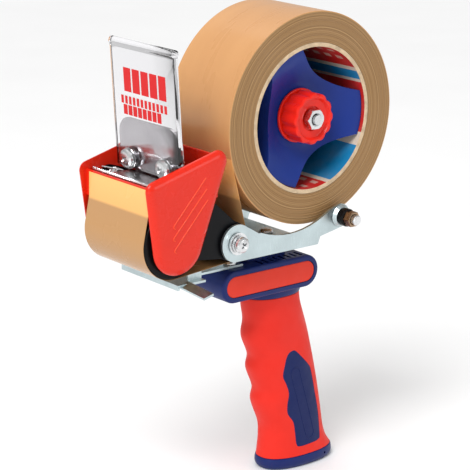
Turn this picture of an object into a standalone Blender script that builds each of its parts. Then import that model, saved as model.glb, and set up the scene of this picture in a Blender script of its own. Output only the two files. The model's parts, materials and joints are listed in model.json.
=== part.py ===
"""Hand-held packing tape dispenser: a pistol grip, a sheet steel frame, a roll of tape on a braked hub, two
rollers, a moulded guard with the cutting blade, and a sprung clear flap that presses the tape down.

All numbers are millimetres, turned into metres by MM. The origin is the centre of the end cap's flat base.
+Z is up, -X is the end where the tape comes out, and -Y is the side of the brake knob. The tape runs in the
XZ plane, centred on Y = 0, so most pieces are outlines in XZ or are turned about an axis along Y.
"""

import math

import bmesh
import bpy
from mathutils import Matrix, Vector

MM = 0.001
GAP = 0.3  # clearance between neighbouring pieces

# Axes along Y, as (x, z)
SPOOL_AXIS = (-16.4, 204.0)
GUIDE_AXIS = (-70.6, 146.0)
FRONT_AXIS = (-108.5, 151.3)
FLAP_AXIS = (-111.0, 177.4)
BUMPER_AXIS = (1.6, 149.5)

# Tape
TAPE_HALF_WIDTH = 25.0
TAPE_RADIUS = 56.9
CORE_OUTER = 40.4
CORE_INNER = 38.1
WEB_THICKNESS = 0.3

# Hub and brake
HUB_RADIUS = 37.6
HUB_HOLLOW = 5.0  # how far the edge between two arms sinks below the straight line
HUB_ARM_ANGLES = (118.0, -2.0, -122.0)
HUB_HALF_TIP = 18.5
HUB_FACE_Y = -22.6
HUB_DISH = 9.6
HUB_TUBE_RADIUS = 14.0
HUB_FLANGE_RADIUS = 44.0
HUB_FLANGE_Y = 25.4
HUB_BORE = 4.3
AXLE_RADIUS = 4.0
KNOB_RADIUS = 13.9
KNOB_SCALLOPS = 12
KNOB_FRONT_Y = -26.6
KNOB_RECESS_RADIUS = 6.4
KNOB_RECESS_DEPTH = 2.6
KNOB_FLOOR = 0.8
SPRING_ROOM_RADIUS = 8.4
SPRING_COIL_RADIUS = 6.6
SPRING_WIRE_RADIUS = 0.55
BRAKE_DISC_RADIUS = 14.6
BRAKE_DISC_THICKNESS = 1.6
BOLT_RADIUS = 2.6
BOLT_END_Y = -29.6

# Rollers
FRONT_ROLLER_RADIUS = 18.8
FRONT_CORE_RADIUS = 12.0
GUIDE_ROLLER_RADIUS = 10.5
ROLLER_HALF_LENGTH = 25.6
ROLLER_AXLE_RADIUS = 3.0

# Frame
SHEET = 1.5
ARM_OUTER_Y = 30.0
ARM_LOBE_RADIUS = 10.0
FLOOR_TOP = 137.6
FLOOR_FRONT = -60.2
FLOOR_REAR = -14.6
FRAME_SCREW_X = (-38.0, -25.0)
AXLE_HOLE_RADIUS = 3.3
BUMPER_BOSS_RADIUS = 6.5
LINK_INNER_Y = 26.2
LINK_SHEET = 1.0
SIDE_PLATE_Y = 30.8
SIDE_PLATE_SHEET = 2.0
REST_PLATE_X = (-104.6, -52.4)
REST_PLATE_NECK_X = -86.4
REST_PLATE_HALF_WIDTH = 24.0
REST_TONGUE_HALF_WIDTH = 13.4
REST_PLATE_SHEET = 1.2
REST_SCREW_X = -58.0
REST_SCREW_Y = 9.0

# Guard
GUARD_INNER_Y = 27.6
GUARD_OUTER_Y = 30.6
GUARD_ROUND = 2.4
GUARD_FRONT_X = -124.4
GUARD_WALL = 1.4
GUARD_FRONT_TOP = 181.8
GUARD_FRONT_BOTTOM = 168.0
GUARD_REAR_X = -84.0
GUARD_REAR_TOP = 194.2
GUARD_REAR_BOTTOM = 172.0
GUARD_LOBE = (-108.2, 150.7, 15.5)
GUARD_FRONT_CORNER = (-125.6, 183.0, 3.0)
GUARD_REAR_CORNER = (-83.6, 190.6, 6.0)
GUARD_FAR_EXTRA = (7.0, 2.0)  # how much further back and up the far wall's rear corner stands
GUARD_SCREW = (-96.0, 171.5)

# Flap, on a plane through the steel plate's middle that leans towards the tape's exit
FLAP_FOOT = (-101.9, 182.0)
FLAP_LEAN = math.radians(4.7)
FLAP_HALF_WIDTH = 26.0
FLAP_THICKNESS = 3.0
FLAP_TOP = 65.2
FLAP_BOTTOM = 0.8
FLAP_BEAD_RADIUS = 2.2
FLAP_PLATE_HALF_WIDTH = 24.5
FLAP_PLATE_TOP = 27.0
FLAP_PLATE_SHEET = 1.2
FLAP_PLATE_CORNER = 9.0
FLAP_SCREW_Y = 15.0
FLAP_SCREW_Z = 5.8
FLAP_PIN_RADIUS = 1.5
FLAP_CURL_RADIUS = 2.9
COIL_LOW_Y = 16.6
COIL_HIGH_Y = 23.4
COIL_RADIUS = 4.0
BLADE_LEG_Z = 180.8
BLADE_SHEET = 0.8
BLADE_RISE = 1.5
BLADE_REAR_X = 4.6  # behind the hinge pin
TOOTH_PITCH = 1.7
TOOTH_DEPTH = 1.1

# Handle
HEAD_FRONT = -69.9
HEAD_REAR = -2.0
HEAD_BOTTOM = 108.5
HEAD_TOP = 126.4
HEAD_HALF_WIDTH = 18.0
HEAD_RIM = 3.0
INLAY_DEPTH = 1.6
PEDESTAL = (-45.0, -18.0, 8.0)  # x low, x high, half width
SLOT_REAR_X = -12.5
SLOT_COUNT = 8
SLOT_PITCH = 4.0
SLOT_HALF_WIDTH = 0.9
SLOT_Y = (9.5, 14.5)
SECTION_POWER = 2.3
# Sections of the grip from top to bottom: height, front x, rear x, half width. Ridges and finger grooves
# alternate down the front.
GRIP_SECTIONS = (
    (103.0, -39.4, -3.4, 11.9),
    (97.0, -38.8, -2.4, 11.9),
    (89.0, -37.4, 0.4, 12.0),
    (80.0, -38.5, 3.6, 12.2),
    (68.5, -33.7, 6.8, 12.2),
    (60.6, -34.6, 9.0, 12.4),
    (48.5, -29.6, 11.9, 12.3),
    (40.7, -30.6, 13.7, 12.4),
    (27.0, -25.0, 16.4, 12.2),
    (19.0, -24.2, 18.0, 12.2),
    (12.0, -24.7, 20.6, 12.5),
    (7.0, -25.4, 24.2, 12.9),
)
TANG_TOP = (-21.4, 103.0)
TANG_BOTTOM = (-3.4, 14.0)
TANG_HALF_LENGTH = 9.0
TANG_HALF_WIDTH = 6.0
INSET_DEPTH = 1.8
INSET_FRONT_EDGE = (
    (-14.6, 71.0), (-17.6, 69.2), (-19.4, 63.0), (-20.4, 56.0), (-17.2, 51.5), (-15.2, 46.0),
    (-16.2, 38.0), (-15.4, 33.0), (-11.0, 27.5), (-9.4, 21.0), (-8.2, 13.6), (-6.4, 12.2),
)
INSET_BACK_EDGE = ((8.6, 13.2), (10.2, 15.4), (8.8, 30.0), (1.8, 55.6), (0.0, 58.6), (-12.2, 70.6))
# Sections of the end cap from top to bottom, in the same order of numbers as the grip's
CAP_SECTIONS = (
    (6.7, -25.3, 24.1, 12.9),
    (4.6, -26.0, 24.9, 13.5),
    (2.6, -25.8, 25.2, 13.4),
    (0.8, -24.7, 24.4, 12.5),
    (0.0, -23.6, 23.4, 11.6),
)
CAP_SCREW_X = -8.0
CAP_SEAT_RADIUS = 4.4
CAP_SEAT_DEPTH = 3.0

# Turns for pieces made about local Z
NEAR = (math.radians(90), 0.0, 0.0)  # local +Z to world -Y
FAR = (math.radians(-90), 0.0, 0.0)  # local +Z to world +Y
FRONT = (0.0, math.radians(-90), 0.0)  # local +Z to local -X
REAR = (0.0, math.radians(90), 0.0)  # local +Z to local +X
UPRIGHT = (0.0, 0.0, 0.0)
DOWN = (math.radians(180), 0.0, 0.0)

PARTS = "tape_gun_dispenser"
CUTTERS = "cutters"


# ---------------------------------------------------------------- scene and materials


def clear_scene():
    for obj in list(bpy.data.objects):
        bpy.data.objects.remove(obj, do_unlink=True)
    for name in (PARTS, CUTTERS):
        old = bpy.data.collections.get(name)
        if old:
            bpy.data.collections.remove(old)
        bpy.context.scene.collection.children.link(bpy.data.collections.new(name))


def make_material(name, colour, roughness, metallic=0.0):
    mat = bpy.data.materials.new(name)
    mat.use_nodes = True
    shader = mat.node_tree.nodes["Principled BSDF"]
    shader.inputs["Base Color"].default_value = (*colour, 1.0)
    shader.inputs["Roughness"].default_value = roughness
    shader.inputs["Metallic"].default_value = metallic
    return mat


def make_materials():
    looks = {
        "tape_brown": ((0.36, 0.17, 0.06), 0.35, 0.0),
        "cardboard": ((0.62, 0.50, 0.36), 0.8, 0.0),
        "hub_blue": ((0.015, 0.03, 0.17), 0.4, 0.0),
        "head_blue": ((0.012, 0.022, 0.10), 0.45, 0.0),
        "knob_red": ((0.80, 0.03, 0.012), 0.3, 0.0),
        "guard_red": ((0.82, 0.035, 0.012), 0.25, 0.0),
        "grip_red": ((0.80, 0.045, 0.025), 0.55, 0.0),
        "zinc": ((0.55, 0.63, 0.66), 0.35, 0.9),
        "bright_steel": ((0.70, 0.71, 0.72), 0.2, 1.0),
        "black_steel": ((0.012, 0.012, 0.014), 0.4, 0.2),
        "black_rubber": ((0.012, 0.011, 0.012), 0.55, 0.0),
        "bronze": ((0.42, 0.27, 0.16), 0.3, 1.0),
        "clear_plastic": ((0.90, 0.90, 0.93), 0.08, 0.0),
    }
    return {name: make_material(name, *look) for name, look in looks.items()}


# ---------------------------------------------------------------- making objects


def link(obj, collection=PARTS):
    bpy.data.collections[collection].objects.link(obj)
    return obj


def finish_mesh(name, bm, mat, smooth=35.0):
    """Turn a bmesh in millimetres into an object in metres."""
    bmesh.ops.scale(bm, vec=(MM, MM, MM), verts=bm.verts)
    bmesh.ops.recalc_face_normals(bm, faces=bm.faces)
    mesh = bpy.data.meshes.new(name)
    bm.to_mesh(mesh)
    bm.free()
    mesh.shade_smooth()
    mesh.set_sharp_from_angle(angle=math.radians(smooth))
    if mat:
        mesh.materials.append(mat)
    return link(bpy.data.objects.new(name, mesh))


def place(obj, x=0.0, y=0.0, z=0.0, rotation=(0.0, 0.0, 0.0), parent=None):
    obj.location = (x * MM, y * MM, z * MM)
    obj.rotation_euler = rotation
    obj.parent = parent
    return obj


def outline_curve(name, loops, thickness):
    """A filled 2D curve in its own XY plane, thickened evenly to both sides. Later loops are holes."""
    curve = bpy.data.curves.new(name, "CURVE")
    curve.dimensions = "2D"
    curve.fill_mode = "BOTH"
    curve.extrude = 0.5 * thickness * MM
    for loop in loops:
        spline = curve.splines.new("POLY")
        spline.points.add(len(loop) - 1)
        spline.use_cyclic_u = True
        for point, (x, z) in zip(spline.points, loop):
            point.co = (x * MM, z * MM, 0.0, 1.0)
    return link(bpy.data.objects.new(name + "_outline", curve))


def flat(name, loops, y_low, y_high, mat, axis=(0.0, 0.0)):
    """A flat piece: XZ outlines, drawn about an axis along Y, filled between two Y planes."""
    drawn = outline_curve(name, loops, y_high - y_low)
    place(drawn, y=0.5 * (y_low + y_high), rotation=(math.radians(90), 0.0, 0.0))
    return place(meshed(drawn, name, mat), axis[0], 0.0, axis[1])


def hex_nut(name, across_flats, bore, thickness, mat):
    """A nut along local Z, from 0 up."""
    corner = 0.5 * across_flats / math.cos(math.radians(30))
    loops = [circle((0.0, 0.0), corner, 6), list(reversed(circle((0.0, 0.0), bore, 16)))]
    drawn = outline_curve(name, loops, thickness)
    place(drawn, z=0.5 * thickness)
    return meshed(drawn, name, mat)


def meshed(drawn, name, mat):
    """Replace a curve object by a welded mesh object whose mesh is already in place."""
    bpy.context.view_layer.update()
    evaluated = drawn.evaluated_get(bpy.context.evaluated_depsgraph_get())
    mesh = bpy.data.meshes.new_from_object(evaluated)
    mesh.transform(drawn.matrix_world)
    bm = bmesh.new()
    bm.from_mesh(mesh)
    bmesh.ops.remove_doubles(bm, verts=bm.verts, dist=0.002 * MM)
    bmesh.ops.dissolve_degenerate(bm, edges=bm.edges, dist=0.002 * MM)
    bmesh.ops.recalc_face_normals(bm, faces=bm.faces)
    bm.to_mesh(mesh)
    bm.free()
    mesh.name = name
    mesh.materials.clear()
    mesh.shade_smooth()
    mesh.set_sharp_from_angle(angle=math.radians(35))
    if mat:
        mesh.materials.append(mat)
    bpy.data.objects.remove(drawn, do_unlink=True)
    return link(bpy.data.objects.new(name, mesh))


def turned(name, profile, mat, steps=32, closed=True):
    """A piece turned about local Z, from (radius, height) points that run down its outer side."""
    bm = bmesh.new()
    verts = [bm.verts.new((radius * MM, 0.0, height * MM)) for radius, height in profile]
    for a, b in zip(verts, verts[1:]):
        bm.edges.new((a, b))
    if closed:
        bm.edges.new((verts[-1], verts[0]))
    mesh = bpy.data.meshes.new(name)
    bm.to_mesh(mesh)
    bm.free()
    if mat:
        mesh.materials.append(mat)
    obj = link(bpy.data.objects.new(name, mesh))
    screw = obj.modifiers.new("turn", "SCREW")
    screw.axis = "Z"
    screw.steps = steps
    screw.render_steps = steps
    screw.use_merge_vertices = True
    screw.merge_threshold = 0.00001
    return obj


def on_axis(obj, axis, y=0.0):
    """Stand a turned piece on an axis along Y, its heights becoming world Y."""
    return place(obj, axis[0], y, axis[1], rotation=(math.radians(-90), 0.0, 0.0))


def tube_profile(inner, outer, low, high, round_off=0.0):
    """A ring's profile; the outer corners are cut back by round_off."""
    if round_off:
        return [
            (inner, high),
            (outer - round_off, high),
            (outer, high - round_off),
            (outer, low + round_off),
            (outer - round_off, low),
            (inner, low),
        ]
    return [(inner, high), (outer, high), (outer, low), (inner, low)]


def rod_profile(radius, low, high, round_off=0.0):
    return [(0.0, high)] + tube_profile(0.0, radius, low, high, round_off)[1:-1] + [(0.0, low)]


def ring(name, inner, outer, low, high, mat, axis, steps=32, round_off=0.0):
    return on_axis(turned(name, tube_profile(inner, outer, low, high, round_off), mat, steps), axis)


def rod(name, radius, low, high, mat, axis, steps=24, round_off=0.0):
    return on_axis(turned(name, rod_profile(radius, low, high, round_off), mat, steps, closed=False), axis)


def wire(name, points, radius, mat):
    """A round wire through points given in millimetres."""
    curve = bpy.data.curves.new(name, "CURVE")
    curve.dimensions = "3D"
    curve.bevel_depth = radius * MM
    curve.bevel_resolution = 1
    curve.use_fill_caps = True
    spline = curve.splines.new("POLY")
    spline.points.add(len(points) - 1)
    for point, (x, y, z) in zip(spline.points, points):
        point.co = (x * MM, y * MM, z * MM, 1.0)
    curve.materials.append(mat)
    return link(bpy.data.objects.new(name, curve))


def box(name, low, high, mat=None, round_off=0.0):
    bm = bmesh.new()
    bmesh.ops.create_cube(bm, size=1.0)
    size = [b - a for a, b in zip(low, high)]
    centre = [0.5 * (a + b) for a, b in zip(low, high)]
    bmesh.ops.scale(bm, vec=size, verts=bm.verts)
    bmesh.ops.translate(bm, vec=centre, verts=bm.verts)
    obj = finish_mesh(name, bm, mat)
    if round_off:
        add_bevel(obj, round_off, 2)
    return obj


def add_bevel(obj, width, segments, limit=30.0):
    bevel = obj.modifiers.new("edge", "BEVEL")
    bevel.width = width * MM
    bevel.segments = segments
    bevel.limit_method = "ANGLE"
    bevel.angle_limit = math.radians(limit)
    return bevel


def combine(target, other, operation):
    """Boolean with another object, which becomes a hidden cutter."""
    for collection in list(other.users_collection):
        collection.objects.unlink(other)
    link(other, CUTTERS)
    other.hide_render = True
    other.display_type = "WIRE"
    boolean = target.modifiers.new(operation.lower(), "BOOLEAN")
    boolean.operation = operation
    boolean.solver = "EXACT"
    boolean.object = other
    return target


def cut(target, other):
    return combine(target, other, "DIFFERENCE")


def join(target, other):
    return combine(target, other, "UNION")


# ---------------------------------------------------------------- outlines


def circle(centre, radius, count=20):
    angles = [2 * math.pi * i / count for i in range(count)]
    return [(centre[0] + radius * math.cos(a), centre[1] + radius * math.sin(a)) for a in angles]


def arc(centre, radius, start, end, count):
    """Points from one angle to another, in degrees, both included."""
    step = (end - start) / count
    angles = [math.radians(start + i * step) for i in range(count + 1)]
    return [(centre[0] + radius * math.cos(a), centre[1] + radius * math.sin(a)) for a in angles]


def hull_of_circles(circles, count=40):
    """The convex outline around circles given as (x, z, radius)."""
    points = sorted(p for x, z, r in circles for p in circle((x, z), r, count))

    def half(ordered):
        chain = []
        for p in ordered:
            while len(chain) > 1 and turn_of(chain[-2], chain[-1], p) <= 1e-6:
                chain.pop()
            chain.append(p)
        return chain[:-1]

    return half(points) + half(reversed(points))


def turn_of(a, b, c):
    return (b[0] - a[0]) * (c[1] - a[1]) - (b[1] - a[1]) * (c[0] - a[0])


def stadium(x_low, x_high, z_low, z_high, count=10):
    """A bar with half-round ends, as an XZ outline."""
    radius = 0.5 * (z_high - z_low)
    middle = 0.5 * (z_low + z_high)
    rear = arc((x_high - radius, middle), radius, -90, 90, count)
    front = arc((x_low + radius, middle), radius, 90, 270, count)
    return rear + front


def smooth_through(rows, steps):
    """Rows of numbers joined by Catmull-Rom curves, with a number of steps between rows."""
    ends = [rows[0], *rows, rows[-1]]
    out = []
    for four in zip(ends, ends[1:], ends[2:], ends[3:]):
        out += [tuple(blend(*numbers, i / steps) for numbers in zip(*four)) for i in range(steps)]
    return [*out, tuple(rows[-1])]


def blend(p, q, r, s, t):
    """The Catmull-Rom value between q and r, with p before them and s after."""
    square = (2 * p - 5 * q + 4 * r - s) * t**2
    cube = (3 * q - p - 3 * r + s) * t**3
    return 0.5 * (2 * q + (r - p) * t + square + cube)


def section(x_low, x_high, half_width, z, count=24):
    """A rounded section in a level plane: a superellipse."""
    centre = 0.5 * (x_low + x_high)
    half_length = 0.5 * (x_high - x_low)
    points = []
    for i in range(count):
        a = 2 * math.pi * i / count
        c, s = math.cos(a), math.sin(a)
        x = centre + half_length * math.copysign(abs(c) ** (2 / SECTION_POWER), c)
        y = half_width * math.copysign(abs(s) ** (2 / SECTION_POWER), s)
        points.append((x, y, z))
    return points


def loft(name, sections, mat=None):
    """A closed skin over sections that have the same number of points, listed from top to bottom."""
    bm = bmesh.new()
    rings = [[bm.verts.new(p) for p in points] for points in sections]
    count = len(rings[0])
    for upper, lower in zip(rings, rings[1:]):
        for i in range(count):
            j = (i + 1) % count
            bm.faces.new((upper[i], upper[j], lower[j], lower[i]))
    bm.faces.new(rings[0])
    bm.faces.new(list(reversed(rings[-1])))
    return finish_mesh(name, bm, mat)


# ---------------------------------------------------------------- tape


def external_tangent(centre_a, radius_a, centre_b, radius_b):
    """Angle, in degrees, of the radius to the lower common tangent of two circles, a behind b."""
    dx, dz = centre_b[0] - centre_a[0], centre_b[1] - centre_a[1]
    along = math.atan2(dz, dx)
    lean = math.acos((radius_a - radius_b) / math.hypot(dx, dz))
    return math.degrees(along + lean)


def crossing_tangent(centre_a, radius_a, centre_b, radius_b):
    """Angle, in degrees, of the radius on a to the tangent that leaves a in front and passes behind b."""
    dx, dz = centre_b[0] - centre_a[0], centre_b[1] - centre_a[1]
    along = math.atan2(dz, dx)
    lean = math.acos((radius_a + radius_b) / math.hypot(dx, dz))
    return math.degrees(along - lean)


def web_path():
    """From the roll, behind and under the guide roller, round the front roller and up the guard."""
    clearance = 0.15 + 0.5 * WEB_THICKNESS
    spool_r = TAPE_RADIUS + clearance
    guide_r = GUIDE_ROLLER_RADIUS + clearance
    front_r = FRONT_ROLLER_RADIUS + clearance
    leave = crossing_tangent(SPOOL_AXIS, spool_r, GUIDE_AXIS, guide_r)
    under = external_tangent(GUIDE_AXIS, guide_r, FRONT_AXIS, front_r)
    wall_x = GUARD_FRONT_X - clearance
    wall_foot = (wall_x, GUARD_FRONT_BOTTOM)
    dx, dz = wall_foot[0] - FRONT_AXIS[0], wall_foot[1] - FRONT_AXIS[1]
    off = math.degrees(math.atan2(dz, dx) + math.acos(front_r / math.hypot(dx, dz)))
    path = arc(SPOOL_AXIS, spool_r, leave - 1.0, leave, 1)
    path += arc(GUIDE_AXIS, guide_r, leave + 180.0, under - 360.0, 10)
    path += arc(FRONT_AXIS, front_r, under, off, 18)
    path += [wall_foot, (wall_x, GUARD_FRONT_TOP - 0.8)]
    return path


def build_tape(mats):
    half = TAPE_HALF_WIDTH
    brown, board = mats["tape_brown"], mats["cardboard"]
    ring("tape_roll", CORE_OUTER + GAP, TAPE_RADIUS, -half, half, brown, SPOOL_AXIS, 60, 0.4)
    ring("tape_core", CORE_INNER, CORE_OUTER, -half, half, board, SPOOL_AXIS, 48)
    sheet_along("tape_web", web_path(), -half, half, WEB_THICKNESS, brown)


# ---------------------------------------------------------------- hub and brake


def hub_outline():
    """Three arms whose tips lie on the core, joined by hollow edges."""
    outline = []
    for i, middle in enumerate(HUB_ARM_ANGLES):
        start = middle - HUB_HALF_TIP
        end = HUB_ARM_ANGLES[(i + 1) % 3] + HUB_HALF_TIP
        outline += arc((0.0, 0.0), HUB_RADIUS, middle + HUB_HALF_TIP, start, 6)
        outline += hollow_edge(polar(HUB_RADIUS, start), polar(HUB_RADIUS, end), HUB_HOLLOW, 9)
    return outline


def polar(radius, degrees):
    angle = math.radians(degrees)
    return Vector((radius * math.cos(angle), radius * math.sin(angle)))


def hollow_edge(a, b, depth, count):
    """Points between a and b, on a curve that sinks towards the centre by depth."""
    inward = -(a + b).normalized()
    steps = [k / count for k in range(1, count)]
    return [tuple(a.lerp(b, t) + inward * depth * 4 * t * (1 - t)) for t in steps]


def build_hub(mats):
    """A three-armed spider with pads along its tips, a middle tube and a flange behind the core."""
    blue, steel = mats["hub_blue"], mats["bright_steel"]
    flange = HUB_FLANGE_Y
    hub = flat("hub", [hub_outline()], HUB_FACE_Y, flange + 0.6, blue, SPOOL_AXIS)
    dish_profile = [(0.0, 5.0), (44.0, 5.0), (44.0, 0.6), (36.6, 0.0), (28.0, -3.6)]
    dish_profile += [(16.4, -HUB_DISH), (0.0, -HUB_DISH)]
    dish = turned("hub_dish", dish_profile, None, 36, closed=False)
    cut(hub, place(dish, SPOOL_AXIS[0], HUB_FACE_Y, SPOOL_AXIS[1], NEAR))
    back = HUB_FACE_Y + HUB_DISH + 2.6
    cut(hub, ring("hub_hollow", HUB_TUBE_RADIUS, HUB_RADIUS - 3.0, back, flange, None, SPOOL_AXIS, 36))
    join(hub, ring("hub_flange", 6.0, HUB_FLANGE_RADIUS, flange, flange + 2.0, None, SPOOL_AXIS, 44))
    cut(hub, rod("hub_bore", HUB_BORE, -40.0, 40.0, None, SPOOL_AXIS, 24))
    ring("hub_bush", HUB_BORE, 8.0, flange + 2.4, SIDE_PLATE_Y - 0.4, steel, SPOOL_AXIS, 20)
    build_hub_axle(steel)
    build_brake(mats, HUB_FACE_Y + HUB_DISH)


def build_hub_axle(steel):
    far = SIDE_PLATE_Y + SIDE_PLATE_SHEET + GAP
    profile = [
        (0.0, far + 4.0),
        (6.4, far + 4.0),
        (7.2, far + 3.2),
        (7.2, far),
        (AXLE_RADIUS, far),
        (AXLE_RADIUS, -22.6),
        (BOLT_RADIUS, -23.1),
        (BOLT_RADIUS, BOLT_END_Y),
        (0.0, BOLT_END_Y),
    ]
    on_axis(turned("hub_axle", profile, steel, 24, closed=False), SPOOL_AXIS)


def build_brake(mats, seat_y):
    """seat_y is the hub's face inside its dish; everything here stacks towards the user from it."""
    red, steel = mats["knob_red"], mats["bright_steel"]
    disc_far = seat_y - GAP
    disc_near = disc_far - BRAKE_DISC_THICKNESS
    knob_far = disc_near - GAP
    ring("brake_disc", HUB_BORE, BRAKE_DISC_RADIUS, disc_near, disc_far, red, SPOOL_AXIS, 30)

    knob = flat("brake_knob", [knob_outline()], KNOB_FRONT_Y, knob_far, red, SPOOL_AXIS)
    add_bevel(knob, 0.9, 1, 60.0)
    recess_floor = KNOB_FRONT_Y + KNOB_RECESS_DEPTH
    room_floor = recess_floor + KNOB_FLOOR
    cut(knob, rod("knob_spring_room", SPRING_ROOM_RADIUS, room_floor, 0.0, None, SPOOL_AXIS))
    cut(knob, rod("knob_recess", KNOB_RECESS_RADIUS, -40.0, recess_floor, None, SPOOL_AXIS))
    cut(knob, rod("knob_bore", BOLT_RADIUS + 0.8, -40.0, 0.0, None, SPOOL_AXIS))

    nut = hex_nut("brake_nut", 10.0, BOLT_RADIUS + GAP, 4.0, steel)
    place(nut, SPOOL_AXIS[0], recess_floor - GAP, SPOOL_AXIS[1], NEAR)
    coil = helix(SPOOL_AXIS, SPRING_COIL_RADIUS, room_floor + 1.0, knob_far - 0.9, 3.5, 0.0)
    wire("brake_spring", coil, SPRING_WIRE_RADIUS, steel)


def knob_outline():
    count = KNOB_SCALLOPS * 4
    outline = []
    for i in range(count):
        a = 2 * math.pi * i / count
        reach = KNOB_RADIUS - 0.7 * (0.5 - 0.5 * math.cos(KNOB_SCALLOPS * a)) ** 2
        outline.append((reach * math.cos(a), reach * math.sin(a)))
    return outline


def helix(axis, radius, start_y, end_y, turns, start_angle, per_turn=9):
    """Points of a coil about an axis along Y."""
    count = int(turns * per_turn)
    points = []
    for i in range(count + 1):
        a = start_angle + 2 * math.pi * i / per_turn
        y = start_y + (end_y - start_y) * i / (turns * per_turn)
        points.append((axis[0] + radius * math.cos(a), y, axis[1] + radius * math.sin(a)))
    return points


# ---------------------------------------------------------------- frame


def arm_outline():
    """The low arm beside the roll: a lobe round the guide roller's axle, a hollow top edge, a rear boss."""
    hollow_centre = (SPOOL_AXIS[0] - 18.6, SPOOL_AXIS[1] - 6.0)
    outline = arc(GUIDE_AXIS, ARM_LOBE_RADIUS, 262, 52, 24)
    outline += [(-60.9, 151.9), (-56.2, 149.0)]
    outline += arc(hollow_centre, 52.8, 248, 303, 10)
    outline += arc(BUMPER_AXIS, BUMPER_BOSS_RADIUS, 118, -78, 14)
    underside = FLOOR_TOP - SHEET
    outline += [(FLOOR_REAR + 2.0, 140.3), (FLOOR_REAR + 0.4, underside), (FLOOR_FRONT - 2.4, underside)]
    return outline


def build_channel(mats):
    """Two arms joined by a floor, folded from one sheet."""
    outer = ARM_OUTER_Y
    holes = [circle(GUIDE_AXIS, AXLE_HOLE_RADIUS, 18), circle(BUMPER_AXIS, 3.1, 18)]
    channel = flat("frame_channel", [arm_outline(), *holes], -outer, -outer + SHEET, mats["zinc"])
    join(channel, flat("channel_far", [arm_outline(), *holes], outer - SHEET, outer, None))
    floor_low = (FLOOR_FRONT, -outer + 0.5, FLOOR_TOP - SHEET)
    join(channel, box("channel_floor", floor_low, (FLOOR_REAR, outer - 0.5, FLOOR_TOP)))
    for x in FRAME_SCREW_X:
        cut(channel, upright_rod("channel_hole", 2.4, (x, 0.0), FLOOR_TOP - 5.0, FLOOR_TOP + 5.0, None))
    return channel


def upright_rod(name, radius, xy, low, high, mat, steps=18):
    obj = turned(name, rod_profile(radius, low, high), mat, steps, closed=False)
    return place(obj, xy[0], xy[1])


def build_plates(mats):
    black = mats["black_steel"]
    guide_hole = circle(GUIDE_AXIS, AXLE_HOLE_RADIUS, 18)
    side = hull_of_circles([(*SPOOL_AXIS, 17.0), (*GUIDE_AXIS, 9.0), (*BUMPER_AXIS, 7.0)])
    holes = [circle(SPOOL_AXIS, HUB_BORE, 24), guide_hole, circle(BUMPER_AXIS, 2.6, 18)]
    flat("side_plate", [side, *holes], SIDE_PLATE_Y, SIDE_PLATE_Y + SIDE_PLATE_SHEET, black)
    corners = [(*GUIDE_AXIS, 8.5), (*FRONT_AXIS, 9.0), (*FLAP_AXIS, 5.0), (*GUARD_SCREW, 6.0)]
    link_outline = hull_of_circles(corners)
    holes = [guide_hole, circle(FRONT_AXIS, AXLE_HOLE_RADIUS, 18)]
    holes += [circle(FLAP_AXIS, 1.8, 12), circle(GUARD_SCREW, 1.9, 12)]
    for name, side_sign in (("link_near", -1), ("link_far", 1)):
        planes = sorted((side_sign * LINK_INNER_Y, side_sign * (LINK_INNER_Y + LINK_SHEET)))
        flat(name, [link_outline, *holes], *planes, black)


# ---------------------------------------------------------------- fasteners


def pan_screw(name, head_radius, head_height, shank_radius, length, mat, cross=True):
    """A screw along local Z with its head's underside at 0, listed with the cutters of its recess."""
    profile = [
        (0.0, head_height),
        (0.62 * head_radius, 0.96 * head_height),
        (0.9 * head_radius, 0.7 * head_height),
        (head_radius, 0.25 * head_height),
        (head_radius, 0.0),
        (shank_radius, 0.0),
        (shank_radius, -length),
        (0.0, -length),
    ]
    screw = turned(name, profile, mat, 14, closed=False)
    bars = cross_recess(name, head_radius, head_height) if cross else []
    for bar in bars:
        cut(screw, bar)
    return [screw, *bars]


def cross_recess(name, head_radius, head_height):
    low, high = 0.35 * head_height, 2 * head_height
    reach, half = 0.6 * head_radius, 0.45
    bars = []
    for i, (x, y) in enumerate(((reach, half), (half, reach))):
        bars.append(box(f"{name}_slot_{i}", (-x, -y, low), (x, y, high)))
    return bars


def place_screw(made, x, y, z, rotation, parent=None):
    for obj in made:
        place(obj, x, y, z, rotation, parent)


def washer(name, inner, outer, thickness, mat):
    return turned(name, tube_profile(inner, outer, 0.0, thickness), mat, 14)


def build_frame_fasteners(mats):
    steel = mats["bright_steel"]
    x, z = GUIDE_AXIS
    y = -ARM_OUTER_Y - GAP
    place(washer("guide_washer", 2.3, 6.0, 0.9, steel), x, y, z, NEAR)
    y -= 0.9 + GAP
    place(washer("guide_lock_washer", 2.3, 4.9, 1.1, steel), x, y, z, NEAR)
    y -= 1.1 + GAP
    place_screw(pan_screw("guide_screw_near", 4.3, 2.8, 2.0, 9.5, steel), x, y, z, NEAR)
    far_y = SIDE_PLATE_Y + SIDE_PLATE_SHEET + GAP
    place_screw(pan_screw("guide_screw_far", 5.0, 2.8, 2.0, 9.5, steel, cross=False), x, far_y, z, FAR)
    rear_screw = pan_screw("plate_screw", 4.6, 2.6, 2.2, 5.4, steel, cross=False)
    place_screw(rear_screw, BUMPER_AXIS[0], far_y, BUMPER_AXIS[1], FAR)
    for i, x in enumerate(FRAME_SCREW_X):
        made = pan_screw(f"frame_screw_{i + 1}", 4.0, 2.2, 2.1, 9.0, steel, cross=False)
        place_screw(made, x, 0.0, FLOOR_TOP + GAP, UPRIGHT)


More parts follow.
